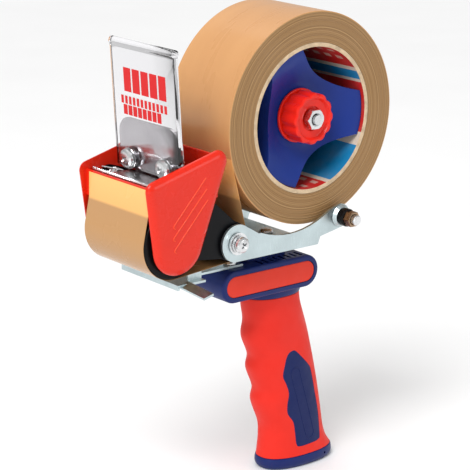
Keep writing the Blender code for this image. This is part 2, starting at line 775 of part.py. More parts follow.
def build_bumper(mats):
    """A stud on the near arm's rear boss with a rubber ring and a nut."""
    face = -ARM_OUTER_Y
    x, z = BUMPER_AXIS
    head = -SHEET - GAP
    profile = [(0.0, 13.6), (2.3, 13.6), (2.8, 13.0), (2.8, head), (4.4, head), (4.4, -3.6), (0.0, -3.6)]
    place(turned("bumper_stud", profile, mats["bright_steel"], 18, closed=False), x, face, z, NEAR)
    profile = [(3.1, 2.2), (4.9, 2.2), (6.2, 0.3), (3.1, 0.3)]
    place(turned("bumper_collar", profile, mats["zinc"], 20), x, face, z, NEAR)
    profile = [(3.1, 6.6), (4.3, 6.6), (4.9, 6.0), (4.9, 3.1), (4.3, 2.5), (3.1, 2.5)]
    place(turned("bumper_ring", profile, mats["black_rubber"], 20), x, face, z, NEAR)
    place(hex_nut("bumper_nut", 7.6, 3.1, 3.9, mats["bronze"]), x, face - 6.9, z, NEAR)


# ---------------------------------------------------------------- rollers


def build_rollers(mats):
    half = ROLLER_HALF_LENGTH
    bore = ROLLER_AXLE_RADIUS + GAP
    rubber, steel = mats["black_rubber"], mats["bright_steel"]
    ring("guide_roller", bore, GUIDE_ROLLER_RADIUS, -half, half, rubber, GUIDE_AXIS, 30, 0.6)
    reach = ARM_OUTER_Y - GAP
    ring("guide_axle", 2.3, ROLLER_AXLE_RADIUS, -reach, reach, steel, GUIDE_AXIS, 20)
    ring("front_roller_core", bore, FRONT_CORE_RADIUS, -half, half, mats["head_blue"], FRONT_AXIS, 24)
    inner = FRONT_CORE_RADIUS + GAP
    ring("front_roller_sleeve", inner, FRONT_ROLLER_RADIUS, -half, half, rubber, FRONT_AXIS, 44, 0.6)
    reach = LINK_INNER_Y + LINK_SHEET
    rod("front_axle", ROLLER_AXLE_RADIUS, -reach, reach, steel, FRONT_AXIS, 20)


# ---------------------------------------------------------------- guard and blade


def guard_wall(name, circles, side_sign, mat):
    """One side of the guard, its outer edge well rounded and its inner edge square."""
    outline = hull_of_circles(circles, 32)
    steps = (
        (GUARD_INNER_Y, 0.0),
        (GUARD_OUTER_Y - GUARD_ROUND, 0.0),
        (GUARD_OUTER_Y - 0.5 * GUARD_ROUND, 0.13 * GUARD_ROUND),
        (GUARD_OUTER_Y - 0.13 * GUARD_ROUND, 0.5 * GUARD_ROUND),
        (GUARD_OUTER_Y, GUARD_ROUND),
    )
    sections = []
    for y, inset in steps:
        sections.append([(x, side_sign * y, z) for x, z in inset_outline(outline, inset)])
    return loft(name, sections, mat)


def inset_outline(outline, inset):
    """An outline moved inwards, each point square to its neighbours."""
    moved = []
    for i, point in enumerate(outline):
        along = (Vector(outline[(i + 1) % len(outline)]) - Vector(outline[i - 1])).normalized()
        moved.append((point[0] - along.y * inset, point[1] + along.x * inset))
    return moved


def build_guard(mats):
    near = [GUARD_LOBE, GUARD_FRONT_CORNER, GUARD_REAR_CORNER]
    x, z, r = GUARD_REAR_CORNER
    far = [GUARD_LOBE, GUARD_FRONT_CORNER, (x + GUARD_FAR_EXTRA[0], z + GUARD_FAR_EXTRA[1], r)]
    guard = guard_wall("guard", near, -1, mats["guard_red"])
    join(guard, guard_wall("guard_far", far, 1, None))
    reach = GUARD_INNER_Y + 0.6
    front_low = (GUARD_FRONT_X, -reach, GUARD_FRONT_BOTTOM)
    join(guard, box("guard_front", front_low, (GUARD_FRONT_X + GUARD_WALL, reach, GUARD_FRONT_TOP)))
    rear_low = (GUARD_REAR_X, -reach, GUARD_REAR_BOTTOM)
    join(guard, box("guard_rear", rear_low, (GUARD_REAR_X + GUARD_WALL, reach, GUARD_REAR_TOP)))
    for label, side_sign, facing in (("near", -1, FAR), ("far", 1, NEAR)):
        planes = sorted((side_sign * (GUARD_INNER_Y - 1.0), side_sign * (GUARD_OUTER_Y - 0.7)))
        cut(guard, rod(f"guard_screw_hole_{label}", 1.9, *planes, None, GUARD_SCREW, 12))
        made = pan_screw(f"guard_screw_{label}", 3.2, 1.4, 1.6, 3.4, mats["bright_steel"], cross=False)
        place_screw(made, GUARD_SCREW[0], side_sign * (LINK_INNER_Y - GAP), GUARD_SCREW[1], facing)


def sheet_along(name, path, y_low, y_high, thickness, mat):
    """A sheet that follows an XZ path."""
    bm = bmesh.new()
    verts = [bm.verts.new((x, y_low, z)) for x, z in path]
    edges = [bm.edges.new(pair) for pair in zip(verts, verts[1:])]
    swept = bmesh.ops.extrude_edge_only(bm, edges=edges)["geom"]
    moved = [v for v in swept if isinstance(v, bmesh.types.BMVert)]
    bmesh.ops.translate(bm, vec=(0.0, y_high - y_low, 0.0), verts=moved)
    obj = finish_mesh(name, bm, mat)
    solid = obj.modifiers.new("thickness", "SOLIDIFY")
    solid.thickness = thickness * MM
    solid.offset = 0.0
    solid.use_even_offset = True
    return obj


def build_blade(mats, pivot):
    """A sheet over the flap's pin that turns up behind the guard's front wall and ends in a saw edge."""
    front = GUARD_FRONT_X + GUARD_WALL + 0.7 - FLAP_AXIS[0]
    floor = BLADE_LEG_Z - FLAP_AXIS[1]
    top = GUARD_FRONT_TOP + BLADE_RISE - FLAP_AXIS[1]
    half = TAPE_HALF_WIDTH + 0.4
    rear = BLADE_REAR_X
    path = [(rear, floor), (front + 1.4, floor), (front + 0.4, floor + 0.4), (front, floor + 1.4)]
    path.append((front, top))
    blade = sheet_along("blade", path, -half, half, BLADE_SHEET, mats["bright_steel"])
    blade.parent = pivot
    teeth = tooth_cutter("blade_teeth", front, top, half)
    teeth.parent = pivot
    cut(blade, teeth)
    room_low = (front + 3.4, COIL_LOW_Y - 1.2, floor - 3.0)
    coil_room = box("coil_room", room_low, (rear + 3.0, half + 2.0, floor + 3.0))
    coil_room.parent = pivot
    cut(blade, coil_room)


def tooth_cutter(name, x, top, half):
    """A zigzag comb that leaves a saw edge."""
    count = int(2 * half / TOOTH_PITCH)
    start = -0.5 * count * TOOTH_PITCH
    bm = bmesh.new()
    outline = [(start - 2.0, top + 2.0), (start - 2.0, top)]
    for i in range(count):
        y = start + i * TOOTH_PITCH
        outline += [(y, top), (y + 0.5 * TOOTH_PITCH, top - TOOTH_DEPTH)]
    outline += [(start + count * TOOTH_PITCH, top), (half + 2.0, top), (half + 2.0, top + 2.0)]
    rings = [[bm.verts.new((x + side, y, z)) for y, z in outline] for side in (-2.0, 2.0)]
    bm.faces.new(rings[0])
    bm.faces.new(list(reversed(rings[1])))
    for i in range(len(outline)):
        j = (i + 1) % len(outline)
        bm.faces.new((rings[0][i], rings[1][i], rings[1][j], rings[0][j]))
    return finish_mesh(name, bm, None)


# ---------------------------------------------------------------- flap


def build_flap(mats):
    pivot = place(link(bpy.data.objects.new("flap_pivot", None)), FLAP_AXIS[0], 0.0, FLAP_AXIS[1])
    plane = link(bpy.data.objects.new("flap_plane", None))
    foot = (FLAP_FOOT[0] - FLAP_AXIS[0], FLAP_FOOT[1] - FLAP_AXIS[1])
    place(plane, foot[0], 0.0, foot[1], (0.0, -FLAP_LEAN, 0.0), pivot)
    build_blade(mats, pivot)
    steel = mats["bright_steel"]
    back = -0.5 * FLAP_PLATE_SHEET - GAP
    front = back - FLAP_THICKNESS
    half = FLAP_HALF_WIDTH
    flap = box("clear_flap", (front, -half, FLAP_BOTTOM), (back, half, FLAP_TOP), mats["clear_plastic"])
    flap.parent = plane
    bead_axis = (0.5 * (front + back), FLAP_TOP + 0.8)
    bead = rod("flap_bead", FLAP_BEAD_RADIUS, -half, half, None, bead_axis, 20)
    bead.parent = plane
    join(flap, bead)
    plate = build_flap_plate(steel, plane, pivot, foot)
    for label, y in (("near", -FLAP_SCREW_Y), ("far", FLAP_SCREW_Y)):
        for target in (flap, plate):
            hole = upright_rod("flap_hole", 2.7, (0.0, 0.0), -12.0, 12.0, None, 16)
            cut(target, place(hole, 0.0, y, FLAP_SCREW_Z, FRONT, plane))
        build_flap_bolt(label, y, front, steel, plane)
    reach = LINK_INNER_Y + LINK_SHEET
    rod("flap_pin", FLAP_PIN_RADIUS, -reach, reach, steel, FLAP_AXIS, 14)
    build_flap_spring(steel)


def build_flap_bolt(label, y, front, steel, plane):
    """A screw and washer on the clear flap's face, with a lock washer and nut behind the steel plate."""
    x = front - GAP
    place(washer(f"flap_washer_{label}", 2.6, 5.7, 0.7, steel), x, y, FLAP_SCREW_Z, FRONT, plane)
    screw = pan_screw(f"flap_screw_{label}", 5.2, 2.6, 2.3, 10.4, steel)
    place_screw(screw, x - 0.7 - GAP, y, FLAP_SCREW_Z, FRONT, plane)
    x = 0.5 * FLAP_PLATE_SHEET + GAP
    place(washer(f"flap_lock_washer_{label}", 2.6, 4.6, 0.9, steel), x, y, FLAP_SCREW_Z, REAR, plane)
    nut = hex_nut(f"flap_nut_{label}", 8.0, 2.6, 3.2, steel)
    place(nut, x + 0.9 + GAP, y, FLAP_SCREW_Z, REAR, plane)


def build_flap_plate(steel, plane, pivot, foot):
    """The backing plate: round cornered, bent forward at its foot and curled round the hinge pin."""
    half, top, corner = FLAP_PLATE_HALF_WIDTH, FLAP_PLATE_TOP, FLAP_PLATE_CORNER
    outline = [(-half, -1.0), (half, -1.0)]
    outline += arc((half - corner, top - corner), corner, 0, 90, 6)
    outline += arc((-half + corner, top - corner), corner, 90, 180, 6)
    curve = outline_curve("flap_plate", [outline], FLAP_PLATE_SHEET)
    place(curve, rotation=(math.radians(90), 0.0, math.radians(90)))
    plate = meshed(curve, "flap_plate", steel)
    plate.parent = plane
    x, z = foot
    path = [(x, z), (x + 0.2, z - 3.4), (x - 1.0, z - 5.6), (1.0, -2.3)]
    curl_end = COIL_LOW_Y - 1.6
    leg = sheet_along("flap_leg", path, -half, curl_end, FLAP_PLATE_SHEET, None)
    leg.parent = pivot
    join(plate, leg)
    bore = FLAP_PIN_RADIUS + GAP
    curl = ring("flap_curl", bore, FLAP_CURL_RADIUS, -half, curl_end, None, (0.0, 0.0), 18)
    curl.parent = pivot
    join(plate, curl)
    return plate


def build_flap_spring(steel):
    """A torsion spring on the pin's far end: one leg up behind the plate, one out to the guard's side."""
    x, z = FLAP_AXIS
    points = [(FLAP_FOOT[0] + 1.5, COIL_HIGH_Y, z + 8.6), (FLAP_FOOT[0] + 1.3, COIL_HIGH_Y, z - 0.5)]
    points += helix(FLAP_AXIS, COIL_RADIUS, COIL_HIGH_Y, COIL_LOW_Y, 4.5, -0.5 * math.pi)
    points.append((x - 4.6, GUARD_INNER_Y - 1.2, z + COIL_RADIUS + 0.6))
    wire("flap_spring", points, 0.5, steel)


# ---------------------------------------------------------------- handle


def build_rest_plate(mats):
    """A sheet on the head's front that runs forward under the front roller, with a turned-down lip, an
    upright lug and a side tab."""
    front, rear = REST_PLATE_X
    half = REST_PLATE_HALF_WIDTH
    low = HEAD_TOP + GAP
    high = low + REST_PLATE_SHEET
    tongue = REST_TONGUE_HALF_WIDTH
    plate = box("rest_plate", (front, -half, low), (REST_PLATE_NECK_X, half, high), mats["zinc"])
    join(plate, box("rest_tongue", (REST_PLATE_NECK_X - 2.0, -tongue, low), (rear, tongue, high)))
    join(plate, box("rest_lip", (front, -half, low - 1.6), (front + 1.2, half, low + 0.6)))
    join(plate, box("rest_lug", (front + 9.2, -20.4, low + 0.4), (front + 18.2, -19.2, high + 4.2)))
    tab = box("rest_tab", (-3.2, -18.5, -0.6), (3.2, 1.5, 0.6))
    place(tab, front + 5.2, -23.6, low + 0.4, rotation=(math.radians(5), math.radians(-14), 0.0))
    join(plate, tab)
    for label, y in (("near", -REST_SCREW_Y), ("far", REST_SCREW_Y)):
        xy = (REST_SCREW_X, y)
        cut(plate, upright_rod(f"rest_hole_{label}", 2.2, xy, low - 3.0, high + 3.0, None))
        made = pan_screw(f"rest_screw_{label}", 3.6, 1.8, 1.9, 7.0, mats["bright_steel"], cross=False)
        place_screw(made, *xy, high + GAP, UPRIGHT)


def tang_sections(grow, above=4.0, below=0.0):
    """The slanting tongue inside the grip, from the collar down, grown and lengthened along its slope."""
    (top_x, top_z), (low_x, low_z) = TANG_TOP, TANG_BOTTOM
    lean = (low_x - top_x) / (top_z - low_z)
    length, width = TANG_HALF_LENGTH + grow, TANG_HALF_WIDTH + grow
    sections = []
    for x, z in ((top_x - lean * above, top_z + above), (low_x + lean * below, low_z - below)):
        sections.append(section(x - length, x + length, width, z, 20))
    return sections


def head_outline(rim):
    """The head's bar drawn in by rim."""
    return stadium(HEAD_FRONT + rim, HEAD_REAR - rim, HEAD_BOTTOM + rim, HEAD_TOP - rim, 12 if rim else 10)


def build_head(mats):
    half = HEAD_HALF_WIDTH
    head = flat("handle_head", [head_outline(0.0)], -half, half, mats["head_blue"])
    add_bevel(head, 1.0, 2, 60.0)
    for label, side_sign in (("near", -1), ("far", 1)):
        face, floor = side_sign * half, side_sign * (half - INLAY_DEPTH)
        planes = sorted((floor, face + side_sign * 5.0))
        cut(head, flat(f"pocket_{label}", [head_outline(HEAD_RIM)], *planes, None))
        planes = sorted((floor + side_sign * GAP, face - side_sign * GAP))
        flat(f"head_inlay_{label}", [head_outline(HEAD_RIM + GAP)], *planes, mats["grip_red"])
    x_low, x_high, pedestal_half = PEDESTAL
    top = FLOOR_TOP - SHEET - GAP
    pedestal_low = (x_low, -pedestal_half, HEAD_TOP - 1.0)
    join(head, box("pedestal", pedestal_low, (x_high, pedestal_half, top)))
    collar_z, x_front, x_rear, collar_half = GRIP_SECTIONS[0]
    levels = (HEAD_BOTTOM + 1.0, collar_z + GAP)
    join(head, loft("collar", [section(x_front, x_rear, collar_half, z) for z in levels]))
    join(head, loft("tang", tang_sections(0.0)))
    for i in range(SLOT_COUNT):
        x = SLOT_REAR_X - i * SLOT_PITCH
        for side_sign in (-1, 1):
            y_low, y_high = sorted(side_sign * y for y in SLOT_Y)
            low = (x - SLOT_HALF_WIDTH, y_low, HEAD_TOP - 3.0)
            cut(head, box("slot", low, (x + SLOT_HALF_WIDTH, y_high, HEAD_TOP + 3.0)))
    for x in FRAME_SCREW_X:
        cut(head, upright_rod("pedestal_hole", 2.4, (x, 0.0), top - 9.5, top + 5.0, None))
    for y in (-REST_SCREW_Y, REST_SCREW_Y):
        cut(head, upright_rod("rest_hole", 2.2, (REST_SCREW_X, y), HEAD_TOP - 7.0, HEAD_TOP + 4.0, None))
    cut(head, upright_rod("tang_hole", 2.3, (CAP_SCREW_X, 0.0), 0.0, 30.0, None))


def grip_skin(name, grow, mat=None, steps=2):
    """The grip's outer form, moved outwards by grow."""
    rows = smooth_through(GRIP_SECTIONS, steps)
    sections = [section(front - grow, rear + grow, half + grow, z) for z, front, rear, half in rows]
    return loft(name, sections, mat)


def build_grip(mats):
    """The soft moulding and the palm panels let into its two sides."""
    grip = grip_skin("handle_grip", 0.0, mats["grip_red"])
    panel = INSET_FRONT_EDGE + INSET_BACK_EDGE
    pocket = inset_outline(panel, -GAP)
    sides = (("near", (-30.0, -4.0)), ("far", (4.0, 30.0)))
    for label, planes in sides:
        cut(grip, flat(f"grip_pocket_{label}", [pocket], *planes, None))
    join(grip, grip_skin("grip_core", -INSET_DEPTH - GAP))
    cut(grip, loft("tang_room", tang_sections(GAP, 6.0, 12.0)))
    for label, planes in sides:
        inset = flat(f"grip_inset_{label}", [panel], *planes, mats["head_blue"])
        combine(inset, grip_skin(f"inset_outer_{label}", 0.0), "INTERSECT")
        cut(inset, grip_skin(f"inset_inner_{label}", -INSET_DEPTH))


def build_end_cap(mats):
    cap = loft("end_cap", [section(f, r, h, z) for z, f, r, h in CAP_SECTIONS], mats["head_blue"])
    xy = (CAP_SCREW_X, 0.0)
    cut(cap, upright_rod("cap_hole", 2.3, xy, -5.0, 20.0, None))
    cut(cap, upright_rod("cap_seat", CAP_SEAT_RADIUS, xy, -5.0, CAP_SEAT_DEPTH, None, 24))
    made = pan_screw("cap_screw", CAP_SEAT_RADIUS - 0.6, 2.2, 2.0, 20.0, mats["bright_steel"], cross=False)
    place_screw(made, *xy, CAP_SEAT_DEPTH - GAP, DOWN)


def main():
    clear_scene()
    mats = make_materials()
    build_tape(mats)
    build_hub(mats)
    build_channel(mats)
    build_plates(mats)
    build_frame_fasteners(mats)
    build_bumper(mats)
    build_rollers(mats)
    build_guard(mats)
    build_flap(mats)
    build_rest_plate(mats)
    build_head(mats)
    build_grip(mats)
    build_end_cap(mats)


main()
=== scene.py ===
"""Looks for the tape gun dispenser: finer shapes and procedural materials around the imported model.

Shapes are written in millimetres and turned into metres by MM. +Z is up, -X is the end where the tape comes
out, and -Y is the side of the brake knob.
"""

import json
import math

import bmesh
import bpy
from mathutils import Matrix, Vector


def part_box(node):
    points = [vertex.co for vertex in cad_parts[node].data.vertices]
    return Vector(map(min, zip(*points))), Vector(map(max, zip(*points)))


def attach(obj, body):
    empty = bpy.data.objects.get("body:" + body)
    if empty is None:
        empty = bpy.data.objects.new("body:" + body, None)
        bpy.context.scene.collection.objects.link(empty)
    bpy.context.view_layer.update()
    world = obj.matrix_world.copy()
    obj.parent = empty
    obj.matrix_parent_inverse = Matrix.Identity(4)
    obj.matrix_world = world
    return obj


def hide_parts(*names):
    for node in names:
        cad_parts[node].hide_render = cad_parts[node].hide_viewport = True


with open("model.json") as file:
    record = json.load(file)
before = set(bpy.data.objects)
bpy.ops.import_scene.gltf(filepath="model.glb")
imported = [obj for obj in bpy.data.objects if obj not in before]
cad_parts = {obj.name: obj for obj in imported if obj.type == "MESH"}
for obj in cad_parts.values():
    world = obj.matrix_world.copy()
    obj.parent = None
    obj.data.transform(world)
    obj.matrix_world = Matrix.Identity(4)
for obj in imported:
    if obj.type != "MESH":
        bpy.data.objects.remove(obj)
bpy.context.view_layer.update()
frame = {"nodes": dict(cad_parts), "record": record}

MM = 0.001
NODES = {node for nodes in frame["record"]["behaviour"]["bodies"].values() for node in nodes}
JOINTS = {joint["name"]: joint for joint in frame["record"]["behaviour"]["joints"]}


def axis_of(joint):
    """A joint's axis along Y, as (x, z) in millimetres."""
    x, _, z = JOINTS[joint]["pos_m"]
    return x / MM, z / MM


SPOOL = axis_of("spool_spin")
GUIDE = axis_of("guide_roller_spin")
FRONT = axis_of("front_roller_spin")


def box_mm(node):
    low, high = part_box(node)
    return [v / MM for v in low], [v / MM for v in high]


# ---------------------------------------------------------------- node helpers for materials


class Look:
    """A material and the few node steps that its patterns are made of."""

    def __init__(self, name, colour, roughness, metallic=0.0):
        self.mat = bpy.data.materials.new(name)
        self.mat.use_nodes = True
        self.tree = self.mat.node_tree
        self.shader = self.tree.nodes["Principled BSDF"]
        self.colour = colour
        self.set("Base Color", (*colour, 1.0))
        self.set("Roughness", roughness)
        self.set("Metallic", metallic)
        self.where = self.tree.nodes.new("ShaderNodeTexCoord").outputs["Object"]

    def set(self, socket, value):
        self.shader.inputs[socket].default_value = value

    def link(self, a, b):
        self.tree.links.new(a, b)

    def value_or_link(self, socket, value):
        if isinstance(value, (int, float, tuple)):
            socket.default_value = value
        else:
            self.link(value, socket)

    def math(self, operation, *values):
        node = self.tree.nodes.new("ShaderNodeMath")
        node.operation = operation
        for socket, value in zip(node.inputs, values):
            self.value_or_link(socket, value)
        return node.outputs[0]

    def xyz(self):
        node = self.tree.nodes.new("ShaderNodeSeparateXYZ")
        self.link(self.where, node.inputs[0])
        return node.outputs

    def stretched(self, scale):
        node = self.tree.nodes.new("ShaderNodeMapping")
        node.inputs["Scale"].default_value = scale
        self.link(self.where, node.inputs["Vector"])
        return node.outputs[0]

    def noise(self, scale, detail=3.0, vector=None, along=None):
        node = self.tree.nodes.new("ShaderNodeTexNoise")
        node.inputs["Scale"].default_value = scale
        node.inputs["Detail"].default_value = detail
        if along is not None:
            node.noise_dimensions = "1D"
            self.link(along, node.inputs["W"])
        else:
            self.link(vector if vector is not None else self.where, node.inputs["Vector"])
        return node.outputs["Fac"]

    def ramp(self, fac, stops, constant=False):
        node = self.tree.nodes.new("ShaderNodeValToRGB")
        ramp = node.color_ramp
        ramp.interpolation = "CONSTANT" if constant else "LINEAR"
        while len(ramp.elements) < len(stops):
            ramp.elements.new(0.5)
        for element, (place, colour) in zip(ramp.elements, stops):
            element.position = place
            element.color = (*colour, 1.0) if isinstance(colour, tuple) else (colour, colour, colour, 1.0)
        self.link(fac, node.inputs["Fac"])
        return node.outputs["Color"]

    def mix(self, fac, a, b):
        node = self.tree.nodes.new("ShaderNodeMix")
        node.data_type = "RGBA"
        self.value_or_link(node.inputs[0], fac)
        self.value_or_link(node.inputs[6], (*a, 1.0) if isinstance(a, tuple) else a)
        self.value_or_link(node.inputs[7], (*b, 1.0) if isinstance(b, tuple) else b)
        return node.outputs[2]

    def paint(self, colour):
        self.link(colour, self.shader.inputs["Base Color"])

    def rough(self, fac, low, high):
        self.link(self.ramp(fac, [(0.3, low), (0.7, high)]), self.shader.inputs["Roughness"])

    def bump(self, height, distance, strength=1.0):
        node = self.tree.nodes.new("ShaderNodeBump")
        node.inputs["Strength"].default_value = strength
        node.inputs["Distance"].default_value = distance
        self.link(height, node.inputs["Height"])
        self.link(node.outputs[0], self.shader.inputs["Normal"])

    def mottle(self, scale, amount):
        """The colour, a little lighter and darker in patches."""
        dark = tuple(c * (1 - amount) for c in self.colour)
        light = tuple(min(1.0, c * (1 + amount)) for c in self.colour)
        colour = self.ramp(self.noise(scale), [(0.3, dark), (0.7, light)])
        self.paint(colour)
        return colour


def moulded(name, colour, roughness, coat=0.0, grain=0.00002):
    """Moulded plastic: faint mottling, a fine grain and uneven gloss."""
    look = Look(name, colour, roughness)
    look.mottle(60.0, 0.03)
    look.rough(look.noise(140.0), roughness * 0.85, roughness * 1.2)
    look.bump(look.noise(1400.0, 2.0), grain, 0.5)
    look.set("Specular IOR Level", 0.22)
    look.set("Coat Weight", coat)
    look.set("Coat Roughness", 0.12)
    return look


def plated(name, colour, roughness, brush=(30.0, 400.0, 30.0)):
    """Plated steel: a brushed grain one way, cloudy gloss and light speckle."""
    look = Look(name, colour, roughness, 1.0)
    grain = look.noise(14.0, 5.0, look.stretched(brush))
    cloud = look.noise(70.0, 3.0)
    dark = tuple(c * 0.82 for c in colour)
    look.paint(look.ramp(cloud, [(0.3, dark), (0.72, colour)]))
    look.rough(grain, roughness * 0.75, roughness * 1.35)
    look.bump(grain, 0.00002, 0.25)
    return look


def make_tape_looks():
    face = Look("tape_face", (0.62, 0.315, 0.125), 0.3)
    streaks = face.noise(3.0, 4.0, face.stretched((6.0, 30.0, 6.0)))
    face.paint(face.ramp(streaks, [(0.25, (0.60, 0.300, 0.117)), (0.75, (0.65, 0.335, 0.135))]))
    face.rough(streaks, 0.24, 0.38)
    face.set("Specular IOR Level", 0.35)
    face.set("Coat Weight", 0.15)
    face.set("Coat Roughness", 0.2)
    face.bump(streaks, 0.00006, 0.15)

    side = Look("tape_side", (0.36, 0.19, 0.075), 0.55)
    x, _, z = side.xyz()
    radius = side.math("SQRT", side.math("ADD", side.math("MULTIPLY", x, x), side.math("MULTIPLY", z, z)))
    rings = side.noise(1500.0, 4.0, along=radius)
    broad = side.noise(260.0, 2.0, along=radius)
    patch = side.noise(35.0, 2.0)
    stops = [(0.3, (0.215, 0.112, 0.036)), (0.5, (0.315, 0.172, 0.060)), (0.72, (0.42, 0.245, 0.100))]
    tone = side.ramp(rings, stops)
    side.paint(side.mix(side.ramp(broad, [(0.42, 0.0), (0.62, 0.45)]), tone, (0.27, 0.142, 0.048)))
    side.rough(patch, 0.42, 0.62)
    side.bump(rings, 0.00012, 0.8)

    strip = Look("tape_strip", (0.66, 0.36, 0.15), 0.22)
    _, _, height = strip.xyz()
    # Painted light: the strip is painted darker below about 166.5 mm, as painted shade where it wraps the
    # front roller, and lighter up the guard's front wall, lightest at the top, as painted light.
    painted_light_by_height = strip.math("MULTIPLY_ADD", height, 1.0 / 0.012, -0.1665 / 0.012)
    stops = [(0.0, (0.50, 0.27, 0.11)), (0.12, (0.86, 0.46, 0.15)), (1.0, (0.92, 0.52, 0.17))]
    strip.paint(strip.ramp(painted_light_by_height, stops))
    strip.rough(strip.noise(50.0), 0.18, 0.3)
    strip.set("Specular IOR Level", 0.3)
    strip.set("Coat Weight", 0.1)
    strip.set("Coat Roughness", 0.1)
    return face, side, strip


CORE_BANDS = (  # angle round the core in degrees from -180, and the band that starts there
    (-180.0, "paper"),
    (-120.0, "red"),
    (-72.0, "paper"),
    (-68.0, "blue"),
    (-30.0, "paper"),
    (-19.5, "red"),
    (23.0, "paper"),
    (26.0, "blue"),
    (34.0, "paper"),
    (38.5, "red"),
    (100.0, "paper"),
)
PRINT = {"paper": (0.66, 0.57, 0.46), "red": (0.55, 0.015, 0.010), "blue": (0.002, 0.21, 0.46)}


def make_core_look():
    look = Look("core_print", PRINT["paper"], 0.5)
    x, y, z = look.xyz()
    turn = look.math("ADD", look.math("DIVIDE", look.math("ARCTAN2", z, x), 2 * math.pi), 0.5)
    bands = look.ramp(turn, [((a + 180.0) / 360.0, PRINT[b]) for a, b in CORE_BANDS], constant=True)
    dash_x = look.math("PINGPONG", y, 0.0045)
    dash_a = look.math("PINGPONG", turn, 0.016)
    on_x = look.math("LESS_THAN", dash_x, 0.0024)
    on_a = look.math("LESS_THAN", dash_a, 0.0062)
    dashes = look.math("MULTIPLY", on_x, on_a)
    zones = [(0.0, 0.0), (0.2, 1.0), (0.29, 0.0), (0.62, 1.0), (0.75, 0.0)]
    red_zone = look.ramp(turn, zones, constant=True)
    print_on = look.math("MULTIPLY", look.math("MULTIPLY", dashes, red_zone), 0.55)
    colour = look.mix(print_on, bands, PRINT["paper"])
    look.paint(look.mix(look.ramp(look.noise(90.0), [(0.4, 0.0), (0.75, 0.18)]), colour, (0.3, 0.25, 0.2)))
    look.bump(look.noise(900.0), 0.00003, 0.4)
    return look


def make_looks():
    face, side, strip = make_tape_looks()
    looks = {"tape_face": face, "tape_side": side, "tape_strip": strip, "core_print": make_core_look()}
    board = Look("core_board", (0.60, 0.45, 0.29), 0.8)
    board.mottle(300.0, 0.2)
    board.bump(board.noise(1200.0), 0.00006, 0.6)
    looks["core_board"] = board
    looks["hub_blue"] = moulded("hub_blue", (0.008, 0.030, 0.22), 0.36)
    looks["head_blue"] = moulded("head_blue", (0.007, 0.018, 0.125), 0.4, 0.06, 0.00004)
    looks["inset_blue"] = moulded("inset_blue", (0.005, 0.014, 0.095), 0.5, 0.0, 0.00008)
    looks["guard_red"] = moulded("guard_red", (0.74, 0.020, 0.005), 0.28, 0.25)
    # Painted highlight: the guard's raised rib lines take the guard's red made lighter and more orange,
    # standing for the highlight along each raised line.
    looks["rib_painted_highlight"] = moulded("rib_painted_highlight", (0.86, 0.070, 0.020), 0.35, 0.15)
    looks["knob_red"] = moulded("knob_red", (0.80, 0.016, 0.006), 0.32, 0.2)
    looks["grip_red"] = moulded("grip_red", (0.80, 0.026, 0.014), 0.5, 0.0, 0.00006)
    looks["inlay_red"] = moulded("inlay_red", (0.76, 0.045, 0.024), 0.55, 0.0, 0.00006)
    looks["zinc"] = plated("zinc", (0.60, 0.70, 0.72), 0.34, (260.0, 20.0, 20.0))
    looks["bright"] = plated("bright", (0.80, 0.81, 0.82), 0.25)
    looks["plate"] = plated("plate", (0.56, 0.54, 0.55), 0.2, (20.0, 260.0, 20.0))
    looks["bronze"] = plated("bronze", (0.40, 0.27, 0.17), 0.28)
    looks["black_paint"] = moulded("black_paint", (0.004, 0.004, 0.005), 0.34, 0.04)
    looks["black_rubber"] = moulded("black_rubber", (0.004, 0.0035, 0.004), 0.34, 0.04, 0.00002)
    for name in ("black_paint", "black_rubber"):
        looks[name].set("Specular IOR Level", 0.12)
    clear = Look("clear_acrylic", (0.97, 0.965, 0.985), 0.03)
    clear.set("Transmission Weight", 1.0)
    clear.set("IOR", 1.49)
    clear.bump(clear.noise(60.0), 0.00004, 0.1)
    looks["clear"] = clear
    ink = moulded("flap_ink", (0.66, 0.012, 0.014), 0.4)
    looks["ink"] = ink
    return looks


LOOKS = make_looks()


def mat(name):
    return LOOKS[name].mat


# ---------------------------------------------------------------- shape helpers


def circle(radius, count=48, at=(0.0, 0.0)):
    turn = 2 * math.pi / count
    return [(at[0] + radius * math.cos(i * turn), at[1] + radius * math.sin(i * turn)) for i in range(count)]


def arc(at, radius, start, end, count):
    step = (end - start) / count
    angles = [math.radians(start + i * step) for i in range(count + 1)]
    return [(at[0] + radius * math.cos(a), at[1] + radius * math.sin(a)) for a in angles]


def softened(points, radius, closed=True, count=4):
    """An outline whose corners are rounded. radius may be one number or one for each point."""
    out = []
    last = len(points) - 1
    for i, point in enumerate(points):
        r = radius[i] if isinstance(radius, (list, tuple)) else radius
        if r <= 0 or (not closed and i in (0, last)):
            out.append(point)
            continue
        p = Vector(point)
        a, b = Vector(points[i - 1]), Vector(points[(i + 1) % len(points)])
        start = p + (a - p).normalized() * min(r, 0.45 * (a - p).length)
        end = p + (b - p).normalized() * min(r, 0.45 * (b - p).length)
        for k in range(count + 1):
            t = k / count
            out.append(tuple(start * (1 - t) ** 2 + p * 2 * t * (1 - t) + end * t**2))
    return out


def finished(name, bm, mats, smooth=32.0):
    """A bmesh in millimetres as an object in metres."""
    bmesh.ops.scale(bm, vec=(MM, MM, MM), verts=bm.verts)
    bmesh.ops.remove_doubles(bm, verts=bm.verts, dist=0.000001)
    bmesh.ops.recalc_face_normals(bm, faces=bm.faces)
    mesh = bpy.data.meshes.new(name)
    bm.to_mesh(mesh)
    bm.free()
    mesh.shade_smooth()
    mesh.set_sharp_from_angle(angle=math.radians(smooth))
    for m in mats:
        mesh.materials.append(m)
    obj = bpy.data.objects.new(name, mesh)
    bpy.context.scene.collection.objects.link(obj)
    return obj


